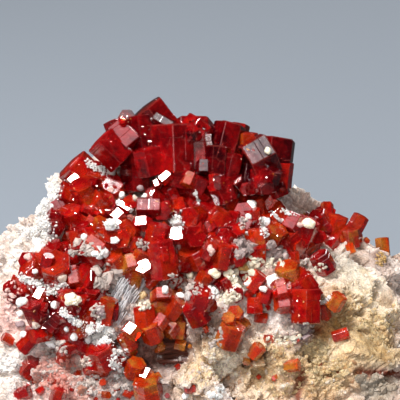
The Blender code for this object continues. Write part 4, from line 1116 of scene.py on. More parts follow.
# Beads of white and pale minerals: right, up, radius, name of the colour.
BEADS = (
    (-13.7, -16.2, 0.7, "white"), (-12.7, -15.8, 0.65, "white"), (-11.7, -16.3, 0.7, "white"),
    (-10.9, -16.9, 0.6, "white"), (-12.6, -16.9, 0.75, "white"), (-13.6, -17.4, 0.6, "white"),
    (-11.7, -17.5, 0.65, "white"), (-12.6, -17.9, 0.5, "white"), (8.5, 6.2, 0.5, "cream"),
    (-9.9, 0.6, 0.5, "white"), (-6.9, 0.4, 0.6, "white"), (-7.5, 1.5, 0.45, "violet"),
    (-8.1, 0.2, 0.4, "beige"), (-11.1, 3.4, 0.5, "grey"), (-11.1, -3.0, 0.8, "white"),
    (-11.2, 1.2, 0.55, "pink"), (-10.6, -5.1, 0.6, "white"), (-12.0, -6.3, 0.65, "white"),
    (-14.4, -4.6, 0.4, "white"), (-2.9, -2.8, 0.9, "white"), (1.5, -6.3, 0.75, "pink"),
    (-1.1, -9.5, 0.55, "cream"), (1.8, -9.0, 0.7, "cream"), (3.4, -8.9, 0.65, "cream"),
    (6.5, -0.8, 0.8, "white"), (5.2, -2.8, 0.65, "violet"), (6.1, -2.1, 0.4, "white"),
    (7.9, -2.8, 0.75, "white"), (13.5, -3.0, 0.7, "cream"), (12.4, -3.1, 0.4, "pink"),
    (5.5, -8.5, 0.6, "ochre"), (9.1, -10.1, 0.75, "white"), (5.9, -10.5, 0.4, "white"),
    (8.1, -11.1, 0.4, "white"), (-20.6, -8.9, 0.5, "white"), (-17.4, -9.8, 0.6, "beige"),
    (-16.0, -12.4, 0.9, "cream"), (-18.2, -13.2, 0.5, "white"), (-21.5, -12.0, 0.45, "white"),
    (-22.2, -12.8, 0.75, "white"), (-23.9, -13.4, 0.6, "pink"), (-22.6, -14.2, 0.65, "white"),
    (-22.5, -15.5, 0.6, "violet"), (-22.1, -16.8, 0.6, "white"), (-20.5, -15.8, 0.6, "beige"),
    (-16.6, -16.1, 0.4, "white"), (-15.1, -15.4, 0.45, "white"), (-15.9, -17.1, 0.5, "white"),
    (-14.2, -17.6, 0.5, "white"), (-12.4, -13.9, 0.85, "violet"), (-18.5, -18.0, 0.55, "white"),
    (-23.1, -7.5, 0.5, "white"), (-21.4, -7.1, 0.6, "pink"), (-4.4, -11.3, 0.5, "white"),
    (-2.5, -12.1, 0.5, "white"), (-1.4, -12.1, 0.6, "grey"), (-7.1, -12.0, 0.5, "tan"),
    (-1.9, -24.4, 0.5, "white"),
)

# Clumps of angular grains: right, up, half width, half height, least and greatest grain,
# pile height, how many, name of the colour. A pile no higher than LOW_PILE lies on bare rock.
# A grain is sunk by a share of its size, in a low pile and in a high one.
LOW_PILE = 0.25
LOW_SUNK = 0.46
PILED_SUNK = 0.3
CLUMPS = (
    (5.3, -5.9, 1.1, 1.3, 0.8, 1.5, 1.0, 26, "smoky"), (9.3, -6.6, 1.2, 1.3, 0.8, 1.5, 1.1, 26, "smoky"),
    (9.3, -7.9, 1.2, 0.7, 0.5, 1.0, 0.8, 22, "cream"), (6.8, -8.2, 1.2, 1.1, 0.6, 1.3, 0.8, 26, "cream"),
    (4.9, -9.9, 1.4, 1.1, 0.6, 1.3, 0.7, 28, "cream"), (3.7, -12.1, 1.5, 0.8, 0.4, 0.9, 0.6, 40, "cream"),
    (1.9, -17.0, 1.1, 1.5, 0.4, 0.9, 0.6, 36, "quartz"),
    (1.6, -11.5, 0.8, 0.8, 0.4, 0.8, 0.6, 22, "white"),
    (-12.5, -16.7, 1.7, 1.5, 0.4, 0.8, 0.6, 40, "white"),
    (-12.6, -14.0, 0.9, 1.1, 0.4, 0.8, 0.8, 34, "quartz"),
    (-11.5, -10.0, 1.5, 2.0, 0.7, 1.5, 0.7, 34, "quartz"),
    (-7.2, -5.5, 0.8, 0.7, 0.3, 0.7, 0.5, 22, "quartz"),
    (-14.8, -6.2, 1.7, 1.0, 0.6, 1.3, 0.7, 28, "quartz"),
    (-12.2, -6.6, 1.2, 0.6, 0.6, 1.1, 0.6, 20, "white"),
    (-7.1, -13.0, 0.9, 0.8, 0.4, 0.9, 0.6, 26, "cream"),
    (-18.3, -18.6, 1.6, 1.3, 0.4, 0.9, 0.6, 50, "quartz"),
    (-9.4, -23.1, 1.4, 0.9, 0.4, 0.9, 0.5, 34, "quartz"),
    (-9.9, -19.2, 1.1, 0.9, 0.4, 0.8, 0.7, 34, "white"),
    (-10.5, -21.4, 0.9, 1.0, 0.4, 0.8, 0.5, 26, "white"),
    (-17.5, -22.9, 1.5, 1.3, 0.5, 1.0, 0.5, 40, "rose"),
    (-14.0, -23.2, 1.6, 1.4, 0.4, 0.9, 0.5, 50, "quartz"),
    (-16.5, -20.3, 0.9, 1.0, 0.4, 0.9, 0.5, 24, "rose"),
    (-14.4, -20.5, 0.8, 1.0, 0.4, 0.8, 0.5, 22, "beige"),
    (2.1, -24.0, 1.1, 0.8, 0.4, 0.9, 0.5, 28, "white"),
    (-0.9, -11.0, 1.4, 0.9, 0.3, 0.7, 0.4, 36, "quartz"),
    (-3.0, -10.1, 1.2, 1.0, 0.3, 0.7, 0.4, 30, "quartz"),
    (5.4, -2.7, 0.6, 0.9, 0.3, 0.7, 0.5, 18, "quartz"),
    (15.0, -8.4, 0.9, 0.5, 0.4, 0.8, 0.3, 14, "cream"),
    (7.0, -15.4, 2.2, 1.8, 0.4, 0.9, 0.25, 60, "beige"),
    (3.1, -20.4, 2.2, 1.6, 0.4, 0.9, 0.25, 60, "cream"),
    (-19.0, -21.8, 4.4, 2.8, 0.3, 0.8, 0.25, 240, "quartz"),
    (-12.6, -22.8, 3.6, 2.0, 0.3, 0.8, 0.25, 130, "grey"),
    (-23.6, -20.5, 1.8, 3.6, 0.3, 0.8, 0.25, 110, "pale"),
    (1.5, -21.6, 4.6, 3.2, 0.3, 0.8, 0.25, 170, "beige"),
    (10.5, -20.6, 4.6, 4.0, 0.3, 0.8, 0.25, 200, "tan"),
    (20.0, -14.2, 4.8, 3.0, 0.3, 0.8, 0.25, 190, "tan"),
    (16.0, -22.6, 4.6, 1.8, 0.3, 0.8, 0.25, 120, "tan"),
    (22.6, -7.4, 0.7, 1.0, 0.25, 0.55, 0.4, 46, "ochre"),
    (-23.6, -12.6, 1.4, 2.6, 0.4, 0.9, 0.5, 60, "pink"),
    (21.8, -23.0, 2.6, 1.2, 0.6, 1.3, 0.3, 44, "slate"),
    (12.4, -16.1, 2.1, 0.8, 0.4, 1.0, 0.35, 64, "beige"),
    (10.4, -17.4, 2.2, 0.6, 0.4, 0.9, 0.3, 40, "cream"),
    (14.4, -18.6, 1.9, 1.2, 0.5, 1.1, 0.3, 80, "tan"), (16.0, -21.0, 3.0, 1.6, 0.4, 1.0, 0.3, 80, "tan"),
    (22.0, -16.0, 2.8, 1.8, 0.4, 1.0, 0.3, 80, "tan"),
    # A thin layer of grains along the bottom of the long crack takes its colour: partly stain, partly
    # painted shade.
    (22.4, -21.6, 2.8, 0.3, 0.3, 0.6, 0.15, 90, "crack_stain_and_shade"),
)

# White crusts of sugary grains: right and up of the start and the end, half width, pile
# height, how many grains.
CRUSTS = (
    (-18.1, 1.7, -19.1, 0.4, 0.9, 0.4, 460), (-19.1, 0.6, -19.6, -2.2, 0.6, 0.3, 400),
    (-19.9, -2.0, -19.2, -4.8, 0.9, 0.3, 400), (-22.4, -4.0, -20.4, -4.4, 0.8, 0.3, 260),
    (-22.5, -9.6, -19.0, -11.0, 0.45, 0.6, 320), (-19.4, -11.8, -16.0, -10.1, 0.4, 0.6, 280),
    (-17.2, -13.9, -15.1, -15.5, 0.4, 0.6, 220), (-14.2, 4.8, -13.1, 4.0, 0.4, 0.4, 80),
    (-12.9, 4.1, -11.8, 3.3, 0.35, 0.4, 80), (-10.4, -0.3, -8.6, -1.3, 0.35, 0.3, 90),
    (-0.6, 1.2, -0.1, -0.6, 0.12, 0.2, 50), (8.9, -1.5, 10.3, -2.7, 0.25, 0.3, 70),
    (10.4, -1.3, 11.7, -2.0, 0.25, 0.3, 70), (-14.0, -16.2, -10.8, -17.4, 0.9, 0.3, 420),
    (-4.9, -11.0, -3.8, -11.6, 0.4, 0.4, 90), (-12.0, -2.9, -10.3, -3.3, 0.3, 0.3, 80),
    (-11.2, -19.9, -9.8, -21.4, 0.5, 0.4, 100), (-2.9, -2.2, -2.9, -3.4, 0.7, 0.5, 160),
    (7.6, -2.2, 8.2, -4.4, 0.35, 0.4, 120), (16.2, -12.2, 15.2, -12.9, 0.3, 0.4, 60),
)

# Soft lumps under the thickest crust: right, up, radius.
LUMPS_OF_CRUST = (
    (-18.5, 1.6, 0.9), (-17.8, 1.1, 0.8), (-19.1, 0.9, 0.9), (-18.3, 0.1, 0.9),
    (-19.5, 0.1, 0.8), (-19.1, -0.9, 0.9), (-19.8, -1.4, 0.8), (-19.7, -2.6, 0.9),
    (-19.3, -3.2, 0.8), (-19.0, -4.4, 0.9), (-20.6, -4.2, 1.1), (-20.2, -5.7, 1.1),
)

# Specks that flash: right, up, half width and half height of the patch, how many, least and
# greatest width, share of pale ones.
SPARKS = (
    (-9.2, 10.3, 0.9, 0.7, 16, 0.1, 0.2, 0.6), (-6.4, 6.9, 0.6, 0.6, 5, 0.07, 0.16, 0.4),
    (-6.2, 9.0, 1.2, 2.0, 5, 0.06, 0.11, 0.3), (-0.6, 8.2, 1.8, 2.2, 8, 0.06, 0.13, 0.3),
    (2.0, 7.6, 1.4, 1.6, 4, 0.06, 0.13, 0.2), (6.2, 6.0, 1.4, 1.4, 5, 0.07, 0.16, 0.5),
    (9.0, 3.6, 2.0, 2.8, 7, 0.07, 0.16, 0.2), (3.0, 4.0, 2.6, 3.0, 7, 0.06, 0.13, 0.2),
    (-11.0, 6.0, 2.6, 2.6, 8, 0.06, 0.16, 0.2), (-2.0, 5.0, 4.0, 4.0, 8, 0.06, 0.13, 0.1),
    (-14.0, 2.0, 2.6, 3.0, 14, 0.08, 0.21, 0.4), (-12.0, -2.0, 3.0, 3.0, 16, 0.08, 0.24, 0.4),
    (-16.5, -2.4, 1.8, 1.8, 8, 0.08, 0.21, 0.3), (-6.0, -1.0, 3.0, 3.0, 16, 0.08, 0.21, 0.4),
    (2.0, 0.6, 3.0, 2.0, 14, 0.07, 0.18, 0.4), (1.0, -3.0, 4.0, 2.6, 16, 0.08, 0.21, 0.4),
    (-9.0, -7.5, 3.0, 2.4, 14, 0.08, 0.21, 0.4), (-3.5, -7.0, 2.4, 2.6, 7, 0.07, 0.16, 0.2),
    (8.0, -3.0, 3.0, 2.6, 11, 0.08, 0.21, 0.5), (13.0, -4.0, 3.6, 2.6, 13, 0.08, 0.21, 0.3),
    (8.5, -10.0, 3.6, 2.6, 16, 0.08, 0.21, 0.5), (11.0, -12.5, 2.6, 2.6, 11, 0.08, 0.21, 0.4),
    (-18.0, -10.0, 4.0, 3.0, 23, 0.08, 0.24, 0.5), (-17.0, -14.5, 5.0, 3.6, 29, 0.08, 0.24, 0.5),
    (-4.5, -14.0, 4.0, 3.6, 20, 0.08, 0.21, 0.4), (0.2, -13.5, 1.8, 2.0, 11, 0.07, 0.16, 0.5),
    (3.6, -15.6, 1.8, 2.4, 8, 0.07, 0.18, 0.3), (-12.0, -19.5, 4.0, 2.6, 13, 0.08, 0.21, 0.4),
    (-5.0, -18.4, 4.0, 2.0, 7, 0.07, 0.16, 0.6), (10.0, -18.0, 6.0, 5.0, 10, 0.07, 0.16, 0.7),
    (-15.0, -22.5, 8.0, 2.4, 16, 0.07, 0.18, 0.7),
)

# Fibres that lie side by side: right and up of the middle of the bundle, its half width and
# half length, aim and lean of the fibres, least and greatest width, how many, colour.
BUNDLES = (
    (-9.0, -11.2, 1.5, 2.2, 57.0, 4.0, 0.06, 0.17, 110, "silver"),
    (-10.3, -13.6, 1.0, 3.0, 62.0, 4.0, 0.06, 0.18, 70, "silver"),
    (12.4, -15.6, 1.9, 1.0, 26.0, 2.0, 0.08, 0.2, 80, "violet"),
    # The umber fibres lie in the hollow under the middle crystals, and their dark colour is partly
    # painted shade.
    (-3.4, -18.5, 1.8, 3.2, 6.0, 4.0, 0.15, 0.5, 50, "umber"),
)

# A grain: an icosahedron's corners and faces.
GOLDEN = (1.0 + math.sqrt(5.0)) / 2.0
GRAIN_POINTS = np.array((
    (-1, GOLDEN, 0), (1, GOLDEN, 0), (-1, -GOLDEN, 0), (1, -GOLDEN, 0),
    (0, -1, GOLDEN), (0, 1, GOLDEN), (0, -1, -GOLDEN), (0, 1, -GOLDEN),
    (GOLDEN, 0, -1), (GOLDEN, 0, 1), (-GOLDEN, 0, -1), (-GOLDEN, 0, 1),
)) / math.hypot(1.0, GOLDEN)
GRAIN_FACES = np.array((
    (0, 11, 5), (0, 5, 1), (0, 1, 7), (0, 7, 10), (0, 10, 11),
    (1, 5, 9), (5, 11, 4), (11, 10, 2), (10, 7, 6), (7, 1, 8),
    (3, 9, 4), (3, 4, 2), (3, 2, 6), (3, 6, 8), (3, 8, 9),
    (4, 9, 5), (2, 4, 11), (6, 2, 10), (8, 6, 7), (9, 8, 1),
))
# How far its corners move and its axes are scaled, least and greatest.
CORNER_SPREAD = (-0.36, 0.3)
AXIS_SCALES = (0.55, 1.3)


def carriers():
    """The pieces that beads and crusts can sit on."""
    return [ROCK, "small_red_crystals", "small_orange_crystals"] + [area[0] for area in AREAS]


def triangles_of(name):
    """A piece's points in millimetres and its triangles."""
    mesh = bpy.data.objects[name].data
    points = np.empty(len(mesh.vertices) * 3, np.float32)
    mesh.vertices.foreach_get("co", points)
    mesh.calc_loop_triangles()
    corners = np.empty(len(mesh.loop_triangles) * 3, np.int32)
    mesh.loop_triangles.foreach_get("vertices", corners)
    return points.reshape(-1, 3).astype(float) / MM, corners.reshape(-1, 3)


def carrier(names):
    """A search tree of the pieces that carry others, in millimetres."""
    points, faces, first = [], [], 0
    for name in names:
        piece_points, piece_faces = triangles_of(name)
        points.append(piece_points)
        faces.append(piece_faces + first)
        first += len(piece_points)
    return BVHTree.FromPolygons(np.vstack(points).tolist(), np.vstack(faces).tolist())


def land(tree, rights, ups):
    """Where each sight line first meets what carries it: points and normals.

    A line that meets nothing takes the nearest place to where it crosses the display plane.
    """
    near = display_point(FRONT, rights, ups, np.full(len(rights), SIGHT_REACH))
    far = display_point(FRONT, rights, ups, np.full(len(rights), -SIGHT_REACH))
    points, normals = [], []
    for start, end in zip(near.tolist(), far.tolist()):
        start, end = Vector(start), Vector(end)
        point, normal, _, _ = tree.ray_cast(start, end - start)
        if point is None:
            point, normal, _, _ = tree.find_nearest((start + end) / 2.0)
        points.append(point)
        normals.append(normal)
    return np.array(points), np.array(normals)


def random_turns(chance, count):
    """Rotation matrices of random unit quaternions."""
    turns = chance.normal(0.0, 1.0, (4, count))
    w, x, y, z = turns / np.linalg.norm(turns, axis=0)
    rows = (
        (1 - 2 * (y * y + z * z), 2 * (x * y - z * w), 2 * (x * z + y * w)),
        (2 * (x * y + z * w), 1 - 2 * (x * x + z * z), 2 * (y * z - x * w)),
        (2 * (x * z - y * w), 2 * (y * z + x * w), 1 - 2 * (x * x + y * y)),
    )
    return np.stack([np.stack(row, axis=-1) for row in rows], axis=1)


def patch(chance, right, up, wide, high, count):
    """Even random places in an ellipse: rights, ups, and how far out each is, from 0 to 1."""
    angle = chance.uniform(0.0, FULL_TURN, count)
    reach = np.sqrt(chance.uniform(0.0, 1.0, count))
    return right + wide * reach * np.cos(angle), up + high * reach * np.sin(angle), reach


def nuggets(centres, sizes, chance):
    """Irregular twenty-faced grains: an icosahedron, its corners moved and its axes scaled."""
    count = len(centres)
    shape = GRAIN_POINTS * (1.0 + chance.uniform(*CORNER_SPREAD, (count, len(GRAIN_POINTS), 1)))
    shape = shape * chance.uniform(*AXIS_SCALES, (count, 1, 3))
    turned = np.einsum("nij,nkj->nki", random_turns(chance, count), shape)
    points = centres[:, None] + turned * (sizes[:, None, None] / 2.0)
    faces = np.arange(count)[:, None, None] * len(GRAIN_POINTS) + GRAIN_FACES
    return points.reshape(-1, 3), faces.reshape(-1, 3).tolist()


# Grains: how much thicker they lie on the front half, how many fewer on smooth masses and in
# cracks, and the height under which there are none.
FRONT_SHARE = 2.2
SMOOTH_LOSS = 0.85
CRACK_LOSS = 0.9
GRAIN_FLOOR = 0.3


def spread_over(name, count, chance):
    """Random places on a piece, thicker on its front half: points, normals and tints."""
    points, corners = triangles_of(name)
    a, b, c = (points[corners[:, k]] for k in range(3))
    normal = np.cross(b - a, c - a)
    area = np.linalg.norm(normal, axis=1)
    weight = area * np.where(a[:, 1] < RIDGE_Y, FRONT_SHARE, 1.0) * (a[:, 2] > GRAIN_FLOOR)
    weight = weight * (1.0 - SMOOTH_LOSS * smooth_share(a)) * (1.0 - CRACK_LOSS * crack_share(a))
    chosen = chance.choice(len(area), count, p=weight / weight.sum())
    u, v = chance.uniform(0.0, 1.0, (2, count))
    u, v = np.where(u + v > 1.0, 1.0 - u, u), np.where(u + v > 1.0, 1.0 - v, v)
    place = a[chosen] + (b - a)[chosen] * u[:, None] + (c - a)[chosen] * v[:, None]
    mesh = bpy.data.objects[name].data
    tints = np.empty(len(mesh.vertices) * 4, np.float32)
    mesh.attributes["tint"].data.foreach_get("color", tints)
    tints = tints.reshape(-1, 4)[corners[chosen, 0], :3].astype(float)
    return place, normal[chosen] / area[chosen, None], tints


def jittered(tints, chance):
    """Each grain a little lighter or darker, and a few of them almost white or brown."""
    tints = tints * chance.uniform(0.9, 1.12, (len(tints), 1))
    odd = chance.uniform(0.0, 1.0, (len(tints), 1))
    tints = np.where(odd < 0.1, tints * 0.7 + 0.2, tints)
    tints = np.where(odd > 0.94, tints * np.array((0.7, 0.52, 0.42)), tints)
    return np.clip(tints, 0.0, LIGHTEST)


def lit(colour, chance, least, most, count):
    """A colour property, a little darker or lighter for each of many things."""
    return np.clip(linear(colour) * chance.uniform(least, most, (count, 1)), 0.0, LIGHTEST)


def grain_piece(name, centres, sizes, tints, finish, chance):
    """One piece of many grains, each with its tint."""
    points, faces = nuggets(centres, sizes, chance)
    return tinted_piece(name, points, faces, finish, np.repeat(tints, len(GRAIN_POINTS), axis=0))


# How much of a bright crystal's half-size is kept free.
KEPT_FREE = 0.85


def clear_of_faces(rights, ups, margin):
    """Which places on the display plane lie off every bright face by a margin."""
    away = np.hypot(rights[:, None] - BRIGHT_FACES[:, 0], ups[:, None] - BRIGHT_FACES[:, 1])
    return np.all(away > BRIGHT_FACES[:, 2] * KEPT_FREE + margin, axis=1)


# Small crystals: the tone above which they are orange ones; how far they stand out of the rock
# and, as a share of that, of other crystals; and how far their axes stray from the upright.
ORANGE_TONE = 0.62
SMALL_PRIDE = (0.1, 0.45)
PRIDE_ON_CRYSTALS = 0.3
SMALL_STRAY = 0.7


class SPECIMEN_OT_small_crystals(bpy.types.Operator):
    """Crowd small crystals between the big ones"""
    bl_idname = "specimen.small_crystals"
    bl_label = "Small crystals"

    def execute(self, context):
        settings = context.scene.specimen_crystals
        trees = {row[8]: carrier([row[8]]) for row in CROWDS}
        for slot_name, name in ((DEEP, "small_red_crystals"), (ORANGE, "small_orange_crystals")):
            chance = draws("small")
            parts = []
            for right, up, wide, high, count, least, most, tone, ground in CROWDS:
                rights, ups, _ = patch(chance, right, up, wide, high, count)
                place, normal = land(trees[ground], rights, ups)
                free = clear_of_faces(rights, ups, 0.5)
                width = least + (most - least) * chance.uniform(0.0, 1.0, count) ** 1.6
                length = width * chance.uniform(0.9, 1.5, count)
                axis = unit(normal + chance.normal(0.0, SMALL_STRAY, (count, 3)))
                side = unit(np.cross(axis, chance.normal(0.0, 1.0, (count, 3))))
                share = 1.0 if ground == ROCK else PRIDE_ON_CRYSTALS
                proud = chance.uniform(*SMALL_PRIDE, count) * share
                centre = place + normal * (length * proud)[:, None]
                tones = tone + chance.uniform(-0.16, 0.16, count)
                keep = free & ((tones > ORANGE_TONE) == (slot_name == ORANGE))
                parts.append(tuple(v[keep] for v in (centre, width, length, axis, side, tones)))
            crystal_piece(name, ((joined(parts), SHORT_RINGS),), slot_name, settings, chance)
        return {"FINISHED"}


# Where a grain's middle is, as a share of its size: off the surface, and at least off the floor.
GRAIN_DEPTHS = (-0.42, -0.04)
GRAIN_CLEARANCE = 0.8


class SPECIMEN_OT_grains(bpy.types.Operator):
    """Spread coarse and fine grains over the rock"""
    bl_idname = "specimen.grains"
    bl_label = "Grains"

    def execute(self, context):
        settings = context.scene.specimen_rock
        finish = shared_material("grain_mineral", mineral_material, 0.5, 0.0006, 0.25, 0.6)
        kinds = (
            ("coarse_grains", settings.coarse_grains, settings.coarse_size / MM),
            ("fine_grains", settings.fine_grains, settings.fine_size / MM),
        )
        for index, (name, count, size) in enumerate(kinds):
            chance = draws("grains", index)
            place, normal, tints = spread_over(ROCK, count, chance)
            sizes = size * chance.lognormal(0.0, 0.3, count)
            sizes = np.clip(sizes, size * 0.5, size * 2.0)
            centre = place + normal * (sizes * chance.uniform(*GRAIN_DEPTHS, count))[:, None]
            centre[:, 2] = np.maximum(centre[:, 2], sizes * GRAIN_CLEARANCE)
            grain_piece(name, centre, sizes, jittered(tints, chance), finish, chance)
        return {"FINISHED"}


# A bead: its rings and columns, its scales, least and greatest, and the noises that dent it,
# each with its size, its share of the roughness and its seed.
BEAD_RINGS = 11
BEAD_COLUMNS = 16
BEAD_SCALES = (0.62, 1.2)
BEAD_DENTS = ((0.6, 1.0, 51), (0.28, 0.5, 52))


def balls(centres, radii, roughness, chance):
    """Lumpy balls: each point of a ball moves out by two sizes of smooth noise."""
    rise = (np.arange(BEAD_RINGS) + 0.5) / BEAD_RINGS * math.pi - math.pi / 2.0
    turn = np.arange(BEAD_COLUMNS) / BEAD_COLUMNS * FULL_TURN
    turn, rise = np.meshgrid(turn, rise)
    ball = np.stack((np.cos(turn) * np.cos(rise), np.sin(turn) * np.cos(rise), np.sin(rise)), -1)
    ball = np.concatenate((ball.reshape(-1, 3), ((0.0, 0.0, -1.0), (0.0, 0.0, 1.0))))
    count = len(radii)
    turned = np.einsum("nij,kj->nki", random_turns(chance, count), ball)
    squash = chance.uniform(*BEAD_SCALES, (count, 1, 3))
    points = centres[:, None] + turned * squash * radii[:, None, None]
    dents = layered(0.0, points, BEAD_DENTS) * roughness
    points = points + turned * (dents * radii[:, None])[..., None]
    return points.reshape(-1, 3), solids_faces(BEAD_RINGS, BEAD_COLUMNS, count), len(ball)


# The radius of a bead as a share of the one in its table, which its dents add to.
BEAD_SHARE = 0.92


class SPECIMEN_OT_beads(bpy.types.Operator):
    """Set the beads of white and pale minerals and the soft lumps of the crust"""
    bl_idname = "specimen.beads"
    bl_label = "Beads"

    def execute(self, context):
        settings = context.scene.specimen_rock
        tree = carrier(carriers())
        soft = tuple(row + ("white",) for row in LUMPS_OF_CRUST)
        kinds = (("mineral_beads", BEADS, 0.5, 0.25), ("crust_lumps", soft, 0.3, -0.2))
        for number, (name, rows, roughness, proud) in enumerate(kinds):
            chance = draws("beads", number)
            rights, ups, radii = np.array([row[:3] for row in rows]).T
            radii = radii * BEAD_SHARE
            place, normal = land(tree, rights, ups)
            centres = place + normal * (radii * proud)[:, None]
            points, faces, per_ball = balls(centres, radii, roughness, chance)
            tints = np.array([linear(getattr(settings, row[3])) for row in rows])
            finish = shared_material("bead_mineral", mineral_material, 0.5, 0.0006, 0.1, 0.5)
            tinted_piece(name, points, faces, finish, np.repeat(tints, per_ball, axis=0))
        return {"FINISHED"}


class SPECIMEN_OT_clumps(bpy.types.Operator):
    """Heap angular quartz grains into clumps"""
    bl_idname = "specimen.clumps"
    bl_label = "Clumps"

    def execute(self, context):
        settings = context.scene.specimen_rock
        chance = draws("clumps")
        everything, rock = carrier(carriers()), carrier([ROCK])
        centres, sizes, tints = [], [], []
        for right, up, wide, high, least, most, pile, count, colour in CLUMPS:
            rights, ups, reach = patch(chance, right, up, wide, high, count)
            tree, sunk = (rock, LOW_SUNK) if pile <= LOW_PILE else (everything, PILED_SUNK)
            place, normal = land(tree, rights, ups)
            lift = pile * (1.0 - reach * reach) * chance.uniform(0.0, 1.0, count)
            size = chance.uniform(least, most, count)
            free = clear_of_faces(rights, ups, 0.2)
            centres.append((place + normal * (lift - sunk * size)[:, None])[free])
            sizes.append(size[free])
            tints.append(lit(getattr(settings, colour), chance, 0.86, 1.1, count)[free])
        finish = shared_material("quartz_mineral", quartz_material)
        grain_piece("quartz_clumps", np.vstack(centres), np.concatenate(sizes),
                    np.vstack(tints), finish, chance)
        return {"FINISHED"}


# How far the flashing sides stray from SHEEN.
SPARK_STRAY = 0.09


class SPECIMEN_OT_sparks(bpy.types.Operator):
    """Scatter tiny crystal faces that flash in the light"""
    bl_idname = "specimen.sparks"
    bl_label = "Sparks"

    def execute(self, context):
        settings = context.scene.specimen_crystals
        tree = carrier(carriers())
        chance = draws("sparks")
        parts = []
        for right, up, wide, high, count, least, most, pale in SPARKS:
            rights, ups, _ = patch(chance, right, up, wide, high, count)
            place, _ = land(tree, rights, ups)
            side = unit(SHEEN + chance.normal(0.0, SPARK_STRAY, (count, 3)))
            axis = unit(np.cross(side, chance.normal(0.0, 1.0, (count, 3))))
            width = least + (most - least) * chance.uniform(0.0, 1.0, count) ** 2
            length = width * chance.uniform(0.6, 3.0, count)
            centre = place - FRONT[2] * (width * 0.2)[:, None]
            tone = np.where(chance.uniform(0.0, 1.0, count) < pale, 1.0, 0.5)
            parts.append((centre, width, length, axis @ FRONT, side @ FRONT, tone))
        sets = ((joined(parts), SHORT_RINGS),)
        crystal_piece("flashing_crystals", sets, DEEP, settings, chance)
        return {"FINISHED"}


class SPECIMEN_OT_crusts(bpy.types.Operator):
    """Pile white sugary grains along the crusts and streaks"""
    bl_idname = "specimen.crusts"
    bl_label = "Crusts"

    def execute(self, context):
        settings = context.scene.specimen_rock
        chance = draws("crusts")
        tree = carrier(carriers() + ["mineral_beads", "crust_lumps"])
        centres, sizes = [], []
        for right, up, end_right, end_up, wide, pile, count in CRUSTS:
            along = chance.uniform(0.0, 1.0, count)
            rights = right + (end_right - right) * along + chance.normal(0.0, wide / 2.0, count)
            ups = up + (end_up - up) * along + chance.normal(0.0, wide / 2.0, count)
            place, normal = land(tree, rights, ups)
            size = settings.sugar_size / MM * chance.lognormal(0.0, 0.35, count)
            centre = place + normal * (pile * chance.uniform(0.0, 0.8, count) ** 2)[:, None]
            free = clear_of_faces(rights, ups, 0.0)
            centres.append(centre[free])
            sizes.append(size[free])
        centres, sizes = np.vstack(centres), np.concatenate(sizes)
        tints = lit(settings.white, chance, 0.86, 1.08, len(sizes))
        finish = shared_material("sugar_mineral", mineral_material, 0.5, 0.0004, 0.06, 0.3)
        grain_piece("sugary_crusts", centres, sizes, tints, finish, chance)
        return {"FINISHED"}


class SPECIMEN_OT_fibres(bpy.types.Operator):
    """Lay bundles of pale fibres side by side on the rock"""
    bl_idname = "specimen.fibres"
    bl_label = "Fibres"

    def execute(self, context):
        settings = context.scene.specimen_rock
        tree = carrier([ROCK])
        finish = shared_material("fibre_mineral", mineral_material, 0.35, 0.0004, 0.12, 0.4)
        for number, row in enumerate(BUNDLES):
            right, up, wide, long, aim, lean, least, most, count, colour = row
            chance = draws("fibres", number)
            aims = aim + chance.normal(0.0, 5.0, count)
            across = np.linspace(-wide, wide, count) + chance.normal(0.0, 0.1, count)
            slide = chance.uniform(-0.5, 0.5, count) * long
            angle = math.radians(aim)
            rights = right + across * math.sin(angle) + slide * math.cos(angle)
            ups = up - across * math.cos(angle) + slide * math.sin(angle)
            place, _ = land(tree, rights, ups)
            rows = [(right, up, one, lean, chance.uniform(0.0, 60.0)) for one in aims]
            axis, side = axes_of(FRONT, rows)
            width = chance.uniform(least, most, count)
            length = long * chance.uniform(0.7, 1.4, count)
            centre = place + FRONT[2] * (width * 0.4)[:, None]
            crystals = (centre, width, length, axis, side, np.zeros(count))
            points, faces, _, _ = prisms(crystals, SHORT_RINGS, chance)
            tints = lit(getattr(settings, colour), chance, 0.75, 1.2, count)
            tinted_piece(f"{colour}_fibres_{number + 1}", points, faces, finish,
                         np.repeat(tints, len(points) // count, axis=0))
        return {"FINISHED"}


# ---- stage ----

FLOOR_SIDES = 96
# Where the lights stand, as directions from the specimen.
KEY_SIDE = (-0.322, -0.385, 0.868)
FILL_SIDE = (-0.15, -0.93, 0.33)
RIM_SIDE = (0.3, 0.8, 0.55)


def area_light(name, toward, distance, size, power, colour, mirrored=True):
    """A round soft light that stands off in a direction and looks at the specimen."""
    light = bpy.data.lights.new(name, "AREA")
    light.shape = "DISK"
    light.size = size
    light.energy = power
    light.color = colour
    lamp = bpy.data.objects.new(name, light)
    direction = Vector(toward).normalized()
    lamp.location = Vector((VIEW_TARGET * MM).tolist()) + direction * distance
    lamp.rotation_euler = direction.to_track_quat("Z", "Y").to_euler()
    lamp.visible_glossy = mirrored
    bpy.context.scene.collection.objects.link(lamp)


def mirror_dimmer(tree, plain, mirrored):
    """A value that is lower for rays that left a mirror or a clear face than for others."""
    path = tree.nodes.new("ShaderNodeLightPath")
    either = math_node(tree, "MAXIMUM")
    mix = node(tree, "ShaderNodeMix", A=plain, B=mirrored)
    wire(tree, (path, "Is Glossy Ray", either, 0), (path, "Is Transmission Ray", either, 1),
         (either, 0, mix, "Factor"))
    return mix


def floor_material(settings):
    """A plain pale floor that the crystals mirror as a dark one."""
    made, tree, shader = new_material("plain_floor", Roughness=0.9)
    tint = tree.nodes.new("ShaderNodeVectorMath")
    tint.operation = "SCALE"
    tint.inputs[0].default_value = settings.floor
    dimmer = mirror_dimmer(tree, 1.0, settings.mirrored)
    wire(tree, (dimmer, "Result", tint, "Scale"), (tint, 0, shader, "Base Color"))
    return made


